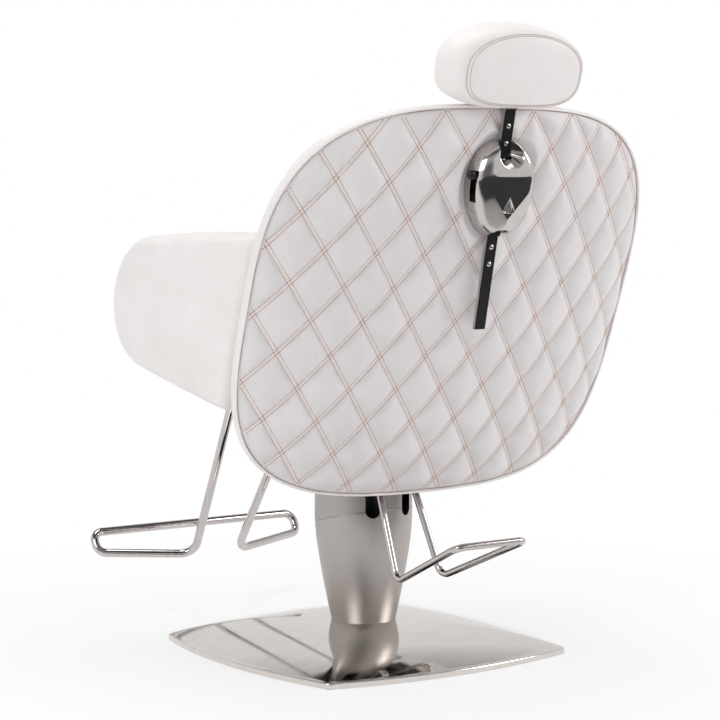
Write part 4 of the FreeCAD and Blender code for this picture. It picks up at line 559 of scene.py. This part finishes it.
# Quilting: lines 70.6 mm apart cross at a slant, each sewn with two rows of stitches. a and b
# count the lines of the two slants, so a whole number is on a line.
QUILT_WIDE, QUILT_TALL, QUILT_X, QUILT_Y, LINE_SHIFT = 44.1, 58.9, 0.57, 0.67, 11
LINE_SPACING, ROW_OFFSET, PUFF, PUFF_MEAN, EDGE_PUFF = 70.6, 2.9, 10.5, 0.45, 34
PANEL_UNDERSIDE, QUILT_SHARP, STRIP_REACH, STRIP_FADE = -5, 60, 1.7, 2.3
STITCH_PITCH, STITCH_LENGTH, THREAD_RADIUS, STITCH_LIFT, STITCH_SHARP = 5, 3.9, 0.48, 0.25, 80
QUILT_LINES, QUILT_RUN = range(-3, 16), (-5, 17)
EDGE_CLEAR, LOCK_CLEAR, PANEL_AT_LOCK = 2.5, 1.02, 20
LOCK_PLACE, LOCK_LEAN = (0, 375.9, 808), 12.4
LOCK_HALF_WIDTH, LOCK_HALF_HEIGHT, LOCK_FLOOR = 61.5, 80.4, -12.5
PRESS_GAP, PRESS_RISE, PRESS_POWER = 0.3, 60, 1.3


def quilt_lines(x, y):
    """Line counts of a point: u = x / wide + x0 and v = y / tall - y0, a = (u + v + shift) / 2
    and b = (u - v + shift) / 2."""
    u = x / QUILT_WIDE + QUILT_X
    v = y / QUILT_TALL - QUILT_Y
    return (u + v + LINE_SHIFT) / 2, (u - v + LINE_SHIFT) / 2


def lock_share(x, y, level):
    """Points of the back as the lock has them: their heights over its own plane, and the share of
    its outline, sqrt((x / w) ** 2 + (y / h) ** 2), that they lie at."""
    own = leaned(np.stack([x, y, level], -1), BACK_PLACE, BACK_LEAN)
    own = unleaned(own, LOCK_PLACE, LOCK_LEAN)
    return own[..., 2], np.hypot(own[..., 0] / LOCK_HALF_WIDTH, own[..., 1] / LOCK_HALF_HEIGHT)


def puff(distance, half):
    """Rise of the stuffing beside a seam: 1 - (1 - t) ** 3, with t = 0 on the row and 1 midway."""
    t = np.clip((distance - ROW_OFFSET) / (half - ROW_OFFSET), 0, 1)
    return 1 - (1 - t) ** 3


def panel_level(x, y):
    """Height of the quilted panel: the crown c (1 - r ** n) less the sag, plus puffs drawn down
    by three seams, of both slants and of the edge. Under the lock it is pressed flat."""
    share = np.clip(reach(x, y), 0, 1)
    a, b = quilt_lines(x, y)
    edge = (1 - share) * BACK_HALF_HEIGHT
    gap_a = np.abs(a - np.round(a)) * LINE_SPACING
    gap_b = np.abs(b - np.round(b)) * LINE_SPACING
    rise = (puff(gap_a, LINE_SPACING / 2) * puff(gap_b, LINE_SPACING / 2)
            * puff(edge - SEAM_INSET + ROW_OFFSET, EDGE_PUFF))
    level = PANEL_CROWN * (1 - share ** CROWN_POWER) - sag(x) + PUFF * (rise - PUFF_MEAN)
    height, near = lock_share(x, y, level)
    ceiling = LOCK_FLOOR - PRESS_GAP + PRESS_RISE * np.clip(near - 1, 0, None) ** PRESS_POWER
    return level - np.clip(height - ceiling, 0, None) * (near < 2)


# A square grid is drawn out to the outline: s = max(|x|, |y|) is the share of the way to it.
columns, rows = 330, 296
across, upward = np.meshgrid(np.linspace(-1, 1, columns), np.linspace(-1, 1, rows))
square = np.maximum(np.abs(across), np.abs(upward))
square = np.where(square == 0, 1, square)
px, py = across / square, upward / square
power = np.where(py > 0, BACK_UPPER, BACK_LOWER)
pull = (np.abs(px) ** power + np.abs(py) ** power) ** (-1 / power)
y = py * pull * square * (BACK_HALF_HEIGHT - SEAM_INSET)
x = px * pull * square * (BACK_HALF_WIDTH - SEAM_INSET) * (1 + BACK_TAPER * y / BACK_HALF_HEIGHT)
grid = np.stack([x, y, panel_level(x, y)], -1)
index = np.arange(rows * columns).reshape(rows, columns)
border = np.concatenate([index[0, :-1], index[:-1, -1], index[-1, :0:-1], index[:0:-1, 0]])
fan = np.stack([np.roll(border, -1), border, np.full(len(border), rows * columns)], -1)
points = np.concatenate([grid.reshape(-1, 3), [(0, 0, PANEL_UNDERSIDE)]])
quilt = solid("quilted_panel", leaned(points, BACK_PLACE, BACK_LEAN),
              quads_over(index) + fan.tolist(), QUILT_SHARP)


def vertices_of(piece):
    """A piece's vertices in mm, one in each row."""
    where = np.empty(len(piece.data.vertices) * 3)
    piece.data.vertices.foreach_get("co", where)
    return where.reshape(-1, 3) * 1000


# A point attribute marks the strip between the two stitch rows of each line, for its tint.
own = unleaned(vertices_of(quilt), BACK_PLACE, BACK_LEAN)
a, b = quilt_lines(own[:, 0], own[:, 1])
gap = np.minimum(np.abs(a - np.round(a)), np.abs(b - np.round(b))) * LINE_SPACING
strip = quilt.data.attributes.new("seam_strip", "FLOAT", "POINT")
strip.data.foreach_set("value", np.clip(STRIP_REACH - gap / STRIP_FADE, 0, 1))
# The same leathercloth, greyer as painted shade, and warmed to cream where the seams press it.
quilted_leathercloth_painted_shade, parts = leathercloth("quilted_leathercloth_painted_shade", "EBE6E5", "E2DDDC")
tree = parts["tree"]
marked = add_node(tree, "ShaderNodeAttribute", {"attribute_name": "seam_strip"})
warmed = add_node(tree, "ShaderNodeMix", {"data_type": "RGBA", 7: linear("F1E5DF")},
                  {0: marked.outputs["Fac"], 6: parts["mixed"].outputs[2]})
tree.links.new(warmed.outputs[2], parts["shader"].inputs["Base Color"])
fit(quilt, quilted_leathercloth_painted_shade, "back", "quilted_leather", "back_panel")


def dashes(name, starts, ends, outs, radius):
    """Short rounded stitches: rings of the radius at both ends, 0.9 of it in from the tips, round
    the line from start to end; outs is the direction away from the leather."""
    sides = 5
    along = ends - starts
    along = along / np.linalg.norm(along, axis=1, keepdims=True)
    across = np.cross(along, outs)
    across = across / np.linalg.norm(across, axis=1, keepdims=True)
    outs = np.cross(across, along)
    turn = np.linspace(0, math.tau, sides, endpoint=False)
    ring = (across[:, None] * np.cos(turn)[None, :, None]
            + outs[:, None] * np.sin(turn)[None, :, None]) * radius
    first = (starts + along * radius * 0.9)[:, None] + ring
    last = (ends - along * radius * 0.9)[:, None] + ring
    points = np.concatenate([starts[:, None], first, last, ends[:, None]], 1)
    each = 2 * sides + 2
    base = (np.arange(len(starts)) * each)[:, None, None]
    k = np.arange(sides)
    after = (k + 1) % sides
    zero = 0 * k
    tips = np.concatenate([np.stack([zero, 1 + after, 1 + k], -1),
                           np.stack([zero + each - 1, 1 + sides + k, 1 + sides + after], -1)])
    walls = np.stack([1 + k, 1 + after, 1 + sides + after, 1 + sides + k], -1)
    caps = (base + tips[None]).reshape(-1, 3).tolist()
    return solid(name, points.reshape(-1, 3), caps + (base + walls[None]).reshape(-1, 4).tolist(),
                 STITCH_SHARP)


def quilt_stitches():
    """Start and end points of every stitch: both rows of each line of both slants, one stitch to
    a pitch, kept where they lie inside the edge seam and clear of the lock."""
    starts, ends = [], []
    for slant in (0, 1):
        for line in QUILT_LINES:
            for row in (-1, 1):
                fixed = line + row * ROW_OFFSET / LINE_SPACING
                length = math.hypot(QUILT_WIDE, QUILT_TALL)
                moving = np.arange(*QUILT_RUN, STITCH_PITCH / length)
                for shift, kept in ((0, starts), (STITCH_LENGTH / length, ends)):
                    a = np.full(len(moving), fixed) if slant == 0 else moving + shift
                    b = moving + shift if slant == 0 else np.full(len(moving), fixed)
                    kept.append(np.stack([(a + b - LINE_SHIFT - QUILT_X) * QUILT_WIDE,
                                          (a - b + QUILT_Y) * QUILT_TALL], -1))
    starts, ends = np.concatenate(starts), np.concatenate(ends)
    middle = (starts + ends) / 2
    limit = 1 - (SEAM_INSET + EDGE_CLEAR) / BACK_HALF_HEIGHT
    _, near = lock_share(*middle.T, np.full(len(middle), PANEL_AT_LOCK))
    keep = (np.maximum(reach(*starts.T), reach(*ends.T)) < limit) & (near > LOCK_CLEAR)
    return starts[keep], ends[keep]


def on_panel(flat, lift):
    """Points in the row frame that lie a lift above the panel at its x and y."""
    x, y = flat.T
    return leaned(np.stack([x, y, panel_level(x, y) + lift], -1), BACK_PLACE, BACK_LEAN)


behind = leaned(np.array([[0.0, 0, 1]]), (0, 0, 0), BACK_LEAN)
starts, ends = quilt_stitches()
# Bonded polyester thread, about 0.9 mm thick and tan, its twist showing as a fine ripple.
tan_thread, _ = finish("tan_thread", "A9806C", "8F6B59", 0.7, (0.5, 0.65), 0.05)
stitches = dashes("quilt_stitches", on_panel(starts, STITCH_LIFT), on_panel(ends, STITCH_LIFT),
                  np.broadcast_to(behind, (len(starts), 3)), THREAD_RADIUS)
fit(stitches, tan_thread, "back", "quilted_leather")

# The edge seam: one row of the same thread just inside the band, each stitch four points of five.
EDGE_INSET, EDGE_LIFT, EDGE_POINTS = 1.2, 0.9, 2080
seam_loop = oval(BACK_HALF_WIDTH, BACK_HALF_HEIGHT, BACK_UPPER, BACK_LOWER, BACK_TAPER,
                 EDGE_POINTS)
seam_loop = drawn_in(seam_loop, SEAM_INSET + EDGE_INSET)
picks = np.arange(0, EDGE_POINTS, 5)
edge_stitches = dashes("edge_stitches", on_panel(seam_loop[picks], EDGE_LIFT),
                       on_panel(seam_loop[(picks + 4) % EDGE_POINTS], EDGE_LIFT),
                       np.broadcast_to(behind, (len(picks), 3)), THREAD_RADIUS)
fit(edge_stitches, tan_thread, "back", "quilted_leather")

# The cushion in front, crowned towards the sitter and drawn in where it meets the board.
front_loop = oval(FRONT_HALF_WIDTH, FRONT_HALF_HEIGHT, FRONT_POWER, FRONT_POWER, 0, 400)
FRONT_SHARES = (0, 0.6, 0.95, 0.985, 1.0, 0.985, 0.94, 0.86, 0.74, 0.58, 0.36, 0)
FRONT_DEPTHS = (0, 0, 0, 0.03, 0.12, 0.24, 0.38, 0.53, 0.69, 0.84, 0.95, 1)
FRONT_SEAM, FRONT_SEAM_WIDTH = 4.6, 0.16
step = np.linspace(0, len(FRONT_SHARES) - 1, PROFILE_ROWS)
shares = np.clip(through(step, range(len(FRONT_SHARES)), FRONT_SHARES), 0, None)
depths = through(step, range(len(FRONT_DEPTHS)), FRONT_DEPTHS)
pinched = shares * (1 - SEAM_PINCH * groove(step, FRONT_SEAM, FRONT_SEAM_WIDTH))
cushion = stacked(front_loop, pinched, -BAND_DEPTH - FRONT_GAP - FRONT_CROWN * depths)
cushion = cushion + np.array([0, FRONT_MIDDLE, 0])
flatten = np.clip(shares, 0, 1)[:, None]
cushion[..., 2] -= sag(cushion[..., 0]) * np.where(depths[:, None] < 0.5, 1, flatten ** 0.5)
front_piece = fit(surface("back_front_cushion", leaned(cushion, BACK_PLACE, BACK_LEAN)),
                  white_leathercloth, "back", "smooth_leather", "back_cushion")


# Headrest lock: a polished aluminium casting on a steel plate, screwed through the panel. Its
# lever turns a clamp that holds the bar.

# Polished die-cast aluminium: bright, with a soft ripple left under the polish.
polished_aluminium, _ = finish("polished_aluminium", "CCC8C6", "BFBBB9", 25, (0.09, 0.15), 0.0,
                               (1, 1, 1), {"Metallic": 1})
# Bright-drawn steel flat: brushed along its length.
drawn_steel, _ = finish("drawn_steel", "C9C8C7", "AEADAC", 1.5, (0.25, 0.38), 0.01, (1, 1, 20),
                        {"Metallic": 1})
# The casting in its own axes: x right as seen from behind, y up the slope and z out of its back.
LOCK_UPPER, LOCK_LOWER, LOCK_TAPER, LOCK_FOOT, LOCK_CROWN = 2.15, 2.0, 0.1, -9.5, 36
SHIELD = [(31, 27), (-31, 27), (-31, -6), (0, -43), (31, -6)]
SHIELD_LEVEL, SHIELD_SLOPES, SHIELD_EASE = 33.5, (0.3, 0, 0.35, 0.35, 0), 0.7
FACET_TOP, FACET_FOOT, FACET_HALF_WIDTH = -8, -31, 12
FACET_EDGE, FACET_LIP, FACET_DEPTH = 2.2, 0.8, 3.2
CHANNEL_HALF, CHANNEL_BACK, CHANNEL_FRONT, CHANNEL_LIP = 13, -4.2, 8, 0.5
HOLLOW_RISE, HOLLOW_EASE, FLARE_RISE, FLARE_REACH = 42, 0.9, 30, 25
BOWL_TOP, BOWL_REACH, BOWL_POWER = 58, 20, 1.4
NOTCH_FOOT, NOTCH_REACH, NOTCH_POWER = -69, 9, 1.2
LEVER_SLOT_LOW, LEVER_SLOT_HIGH, LEVER_SLOT_FLOOR, LEVER_SLOT_CEILING = -19, 32, 3, 15
CUT_REACH, CUT_FLANK = 120, -40


def beyond(x, y, corners, slopes):
    """Drop beyond a convex outline, below zero inside it: the largest over its edges of
    slope ((x - x0) dy - (y - y0) dx) / length."""
    far = np.full(x.shape, -1e6)
    for (x0, y0), (x1, y1), slope in zip(corners, corners[1:] + corners[:1], slopes):
        length = math.hypot(x1 - x0, y1 - y0)
        far = np.maximum(far, slope * ((x - x0) * (y1 - y0) - (y - y0) * (x1 - x0)) / length)
    return far


def eased_min(a, b, ease):
    """The lower of two heights with their edge eased: low - e ln(1 + exp(-|a - b| / e))."""
    return np.minimum(a, b) - ease * np.log1p(np.exp(-np.abs(a - b) / ease))


def hollow(distance, reach, power):
    """Height of a hollow over the bar's channel: rise (distance / reach) ** power."""
    floor = CHANNEL_BACK - CHANNEL_LIP
    return floor + HOLLOW_RISE * (np.clip(distance, 0, None) / reach) ** power


def lock_level(x, y, share):
    """Height of the casting: a dome (1 - s ** 3) ** (1 / 3), cut flat by the shield, sloping off
    beyond it, sunk by the facet, and hollowed to the bar's channel by a bowl above and a notch
    below, which both flare aside as rise (|x| / reach) ** 3."""
    dome = LOCK_FOOT + (LOCK_CROWN - LOCK_FOOT) * (1 - share ** 3) ** (1 / 3)
    slope = np.clip(beyond(x, y, SHIELD, SHIELD_SLOPES), 0, None)
    level = eased_min(dome, SHIELD_LEVEL - slope, SHIELD_EASE)
    facet = [(0, FACET_TOP), (-FACET_HALF_WIDTH, FACET_FOOT), (FACET_HALF_WIDTH, FACET_FOOT)]
    sunk = np.clip(0.5 - beyond(x, y, facet, (1, 1, 1)) / FACET_EDGE, 0, 1)
    down = np.clip((FACET_TOP - y) / (FACET_TOP - FACET_FOOT), 0, 1)
    level = level - sunk * (FACET_LIP + FACET_DEPTH * down)
    flare = FLARE_RISE * (np.abs(x) / FLARE_REACH) ** 3
    bowl = hollow(BOWL_TOP - y, BOWL_REACH, BOWL_POWER) + flare
    notch = hollow(y - NOTCH_FOOT, NOTCH_REACH, NOTCH_POWER) + flare * 2
    return eased_min(eased_min(level, bowl, HOLLOW_EASE), notch, HOLLOW_EASE)


lock_loop = oval(LOCK_HALF_WIDTH, LOCK_HALF_HEIGHT, LOCK_UPPER, LOCK_LOWER, LOCK_TAPER, 420)
# Rows lie closer together near the rim, where the dome is steep: s = sin(t) ** (2 / 3).
shares = np.sin(np.linspace(0, math.pi / 2, 120)) ** (2 / 3)
lock = stacked(lock_loop, shares, np.zeros(120))
lock[..., 2] = np.maximum(lock_level(lock[..., 0], lock[..., 1], shares[:, None]), LOCK_FOOT)
closing = stacked(lock_loop, np.linspace(1, 0, 12)[1:], np.full(11, LOCK_FOOT))
casting = surface("lock_casting", leaned(np.concatenate([lock, closing]), LOCK_PLACE, LOCK_LEAN))


def box_loop(low, high, floor, ceiling):
    """A rectangle's four corners, from low to high across and from floor to ceiling up."""
    return np.array([(low, floor), (high, floor), (high, ceiling), (low, ceiling)], float)


channel = prism(box_loop(-CHANNEL_HALF, CHANNEL_HALF, CHANNEL_BACK, CHANNEL_FRONT),
                -CUT_REACH, CUT_REACH, 1)
lever_slot = prism(box_loop(LEVER_SLOT_LOW, LEVER_SLOT_HIGH, LEVER_SLOT_FLOOR, LEVER_SLOT_CEILING),
                   -CUT_REACH, CUT_FLANK, 0)
cutters = [channel, lever_slot]
for cutter in cutters:
    where = leaned(vertices_of(cutter), LOCK_PLACE, LOCK_LEAN) / 1000
    cutter.data.vertices.foreach_set("co", where.ravel())
fit(cut_by(casting, cutters), polished_aluminium, "back", "cast_aluminium", "lock_housing")
dress(drawn_steel, "lock_base", "head_bar", "headrest_tongue")
dress(chrome_plate, "lock_lever", "bar_studs")
dress(zinc_plate, "lock_screws", "lock_clamp", "tilt_pin")
dress(moulded_grip, "lever_knob")


# Head bar: a flat steel bar faced with a black strip, with domed studs as stops.

# Black anodised strip: satin, with fine lines along it.
black_strip, _ = finish("black_strip", "1A1A1C", "101011", 1.2, (0.3, 0.42), 0.01, (1, 1, 15))
dress(black_strip, "bar_strip")
dress(powder_coat, "headrest_fork")


# Headrest: a foam pad under white leathercloth, its rear panel sewn in with two rows of tan
# thread, tilting on a pin at the top of the bar.

HEAD_PLACE, HEAD_LEAN = (0, 405, 1005), 15
HEAD_HALF_WIDTH, HEAD_HALF_HEIGHT, HEAD_HALF_DEPTH = 132, 66, 49
HEAD_UPPER, HEAD_LOWER = 2.1, 3.4

HEAD_SHARES = (0, 0.36, 0.64, 0.83, 0.93, 0.985, 1.0, 1.0, 0.975, 0.915, 0.80, 0.58, 0.31, 0)
HEAD_DEPTHS = (-1, -0.99, -0.96, -0.88, -0.72, -0.48, -0.15, 0.2, 0.5, 0.72, 0.88, 0.96, 0.99, 1)
HEAD_SEAM, HEAD_SEAM_WIDTH, HEAD_GROOVE = 9.6, 0.09, 0.91
HEAD_ROW_OFFSET, HEAD_THREAD_RADIUS, HEAD_LIFT, HEAD_STITCH_POINTS = 0.17, 0.4, 0.2, 1300


def head_point(step):
    """Share of the outline and depth of the headrest's profile at a step, less a narrow groove
    on the seam."""
    shares = np.clip(through(step, range(len(HEAD_SHARES)), HEAD_SHARES), 0, None)
    depths = through(step, range(len(HEAD_DEPTHS)), HEAD_DEPTHS) * HEAD_HALF_DEPTH
    sunk = HEAD_GROOVE * groove(step, HEAD_SEAM, HEAD_SEAM_WIDTH)
    return shares - sunk / HEAD_HALF_WIDTH, depths - sunk


head_loop = oval(HEAD_HALF_WIDTH, HEAD_HALF_HEIGHT, HEAD_UPPER, HEAD_LOWER, 0, 300)
step = np.sort(np.concatenate([np.linspace(0, len(HEAD_SHARES) - 1, 80),
                               HEAD_SEAM + np.linspace(-0.25, 0.25, 15)]))
head = stacked(head_loop, *head_point(step))
head_piece = fit(surface("headrest_cover", leaned(head, HEAD_PLACE, HEAD_LEAN)),
                 white_leathercloth, "headrest", "smooth_leather", "headrest_pad")

# Two rows of thread beside the seam: each stitch shows for eight points of ten.
stitch_loop = oval(HEAD_HALF_WIDTH, HEAD_HALF_HEIGHT, HEAD_UPPER, HEAD_LOWER, 0,
                   HEAD_STITCH_POINTS)
picks = np.arange(0, HEAD_STITCH_POINTS, 10)
starts, ends = [], []
for offset in (-HEAD_ROW_OFFSET, HEAD_ROW_OFFSET):
    share, depth = head_point(np.array([HEAD_SEAM + offset]))
    row = at_level(drawn_in(stitch_loop * share, -STITCH_LIFT), depth[0] + HEAD_LIFT)
    starts.append(row[picks])
    ends.append(row[(picks + 8) % HEAD_STITCH_POINTS])
starts, ends = np.concatenate(starts), np.concatenate(ends)
outs = np.concatenate([starts[:, :2] / np.linalg.norm(starts[:, :2], axis=1, keepdims=True),
                       np.ones((len(starts), 1))], 1)
head_stitches = dashes("headrest_stitches", leaned(starts, HEAD_PLACE, HEAD_LEAN),
                       leaned(ends, HEAD_PLACE, HEAD_LEAN), leaned(outs, (0, 0, 0), HEAD_LEAN),
                       HEAD_THREAD_RADIUS)
fit(head_stitches, tan_thread, "headrest", "smooth_leather")


# Studio: a white floor under a pale sky, seen from behind the chair. Metal sees a darker
# ceiling, one dark wall and, beyond the white, a dark floor.

FLOOR_HALF = 9
FADE_START, FADE_END, FADE_SHARE = 0.5, 1.3, 0.72
WHITE_END, DARK_START, DARK_FLOOR = 0.9, 1.35, 0.06

floor_mesh = bpy.data.meshes.new("studio_floor")
floor_mesh.from_pydata([(-FLOOR_HALF, -FLOOR_HALF, 0), (FLOOR_HALF, -FLOOR_HALF, 0),
                        (FLOOR_HALF, FLOOR_HALF, 0), (-FLOOR_HALF, FLOOR_HALF, 0)],
                       [], [(0, 1, 2, 3)])
floor = bpy.data.objects.new("studio_floor", floor_mesh)
bpy.context.scene.collection.objects.link(floor)
# White painted floor: matt. The camera and metal see it white, a little less so near the chair,
# where its soft shadow shows.
floor_paint, parts = finish("floor_paint", "FFFFFF", "FAFAFA", 400, (0.7, 0.8))
tree = parts["tree"]
ray = add_node(tree, "ShaderNodeLightPath")
seen = add_node(tree, "ShaderNodeMath", {"operation": "MAXIMUM"},
                {0: ray.outputs["Is Camera Ray"], 1: ray.outputs["Is Glossy Ray"]})
away = add_node(tree, "ShaderNodeVectorMath", {"operation": "LENGTH"},
                {0: parts["place"].outputs["Object"]})
fade = add_node(tree, "ShaderNodeMapRange",
                {1: FADE_START, 2: FADE_END, 3: FADE_SHARE, 4: 1.0}, {0: away.outputs["Value"]})
share = add_node(tree, "ShaderNodeMath", {"operation": "MULTIPLY"},
                 {0: seen.outputs[0], 1: fade.outputs[0]})
# The floor's white ends before the camera, and metal sees a dark floor beyond it.
parted = add_node(tree, "ShaderNodeSeparateXYZ", None, {0: parts["place"].outputs["Object"]})
white = add_node(tree, "ShaderNodeMapRange",
                 {1: WHITE_END, 2: DARK_START, 3: 1.0, 4: DARK_FLOOR}, {0: parted.outputs["Y"]})
power = add_node(tree, "ShaderNodeMath", {"operation": "MAXIMUM"},
                 {0: ray.outputs["Is Camera Ray"], 1: white.outputs[0]})
glow = add_node(tree, "ShaderNodeEmission", {"Color": (1, 1, 1, 1)}, {"Strength": power.outputs[0]})
blend = add_node(tree, "ShaderNodeMixShader", None,
                 {0: share.outputs[0], 1: parts["shader"].outputs[0], 2: glow.outputs[0]})
tree.links.new(blend.outputs[0], tree.nodes["Material Output"].inputs["Surface"])
floor_mesh.materials.append(floor_paint)

# Metal reflects a pale room with a dark ceiling and one dark wall, in the direction given. The
# ceiling darkens between two heights of the sky, and the wall between two cosines from its middle.
DARK_WALL, WALL_EDGE, WALL_MIDDLE, WALL_LIGHT = (0.577, 0.815, 0.05), 0.78, 0.97, 0.2
CEILING_LOW, CEILING_HIGH, SKY_LIGHT, CEILING_LIGHT = 0.5, 0.85, 0.84, 0.10
ROOM_LIGHT = (0.56, 0.56, 0.58, 1)
world = bpy.data.worlds.new("studio")
bpy.context.scene.world = world
world.use_nodes = True
tree = world.node_tree
sky = tree.nodes["Background"]
place = add_node(tree, "ShaderNodeTexCoord")
parted = add_node(tree, "ShaderNodeSeparateXYZ", None, {0: place.outputs["Generated"]})
ceiling = add_node(tree, "ShaderNodeMapRange",
                   {1: CEILING_LOW, 2: CEILING_HIGH, 3: SKY_LIGHT, 4: CEILING_LIGHT},
                   {0: parted.outputs["Z"]})
facing = add_node(tree, "ShaderNodeVectorMath", {"operation": "DOT_PRODUCT", 1: DARK_WALL},
                  {0: place.outputs["Generated"]})
wall = add_node(tree, "ShaderNodeMapRange",
                {1: WALL_EDGE, 2: WALL_MIDDLE, 3: 1.0, 4: WALL_LIGHT}, {0: facing.outputs["Value"]})
seen = add_node(tree, "ShaderNodeMath", {"operation": "MULTIPLY"},
                {0: ceiling.outputs[0], 1: wall.outputs[0]})
mirrored = add_node(tree, "ShaderNodeCombineColor", None,
                    {0: seen.outputs[0], 1: seen.outputs[0], 2: seen.outputs[0]})
ray = add_node(tree, "ShaderNodeLightPath")
shown = add_node(tree, "ShaderNodeMix", {"data_type": "RGBA", 6: ROOM_LIGHT},
                 {0: ray.outputs["Is Glossy Ray"], 7: mirrored.outputs[0]})
backed = add_node(tree, "ShaderNodeMix", {"data_type": "RGBA", 7: (1, 1, 1, 1)},
                  {0: ray.outputs["Is Camera Ray"], 6: shown.outputs[2]})
tree.links.new(backed.outputs[2], sky.inputs["Color"])


def lamp(name, place, aim, size, power):
    """A square soft box at a place in metres, turned to its aim: its -Z looks along aim - place."""
    data = bpy.data.lights.new(name, "AREA")
    data.size = size
    data.energy = power
    made = bpy.data.objects.new(name, data)
    bpy.context.scene.collection.objects.link(made)
    made.location = place
    to_aim = np.array(aim, float) - np.array(place, float)
    made.rotation_euler = (math.atan2(math.hypot(to_aim[0], to_aim[1]), -to_aim[2]), 0,
                           math.atan2(to_aim[0], -to_aim[1]) + math.pi)


lamp("key_lamp", (3.2, 1.2, 2.6), (0, 0, 0.6), 1.8, 36)
lamp("side_lamp", (-2.6, 1.9, 1.9), (0, 0.1, 0.6), 1.2, 30)
lamp("top_lamp", (0, -0.6, 3.2), (0, 0, 0.5), 1.6, 24)

# The camera stands behind the chair on the sitter's left, in metres, and looks a little down.
CAMERA_PLACE, CAMERA_DIP, CAMERA_TURN, CAMERA_LENS = (2.3278, 3.2844, 0.8260), 4.52, 35.24, 115.2
view = bpy.data.cameras.new("photo_camera")
view.lens = CAMERA_LENS
view.sensor_width = 36
view.clip_end = 60
camera = bpy.data.objects.new("photo_camera", view)
bpy.context.scene.collection.objects.link(camera)
camera.location = CAMERA_PLACE
camera.rotation_euler = (math.radians(90 - CAMERA_DIP), 0, math.radians(180 - CAMERA_TURN))
bpy.context.scene.camera = camera
bpy.context.scene.view_settings.view_transform = "Standard"
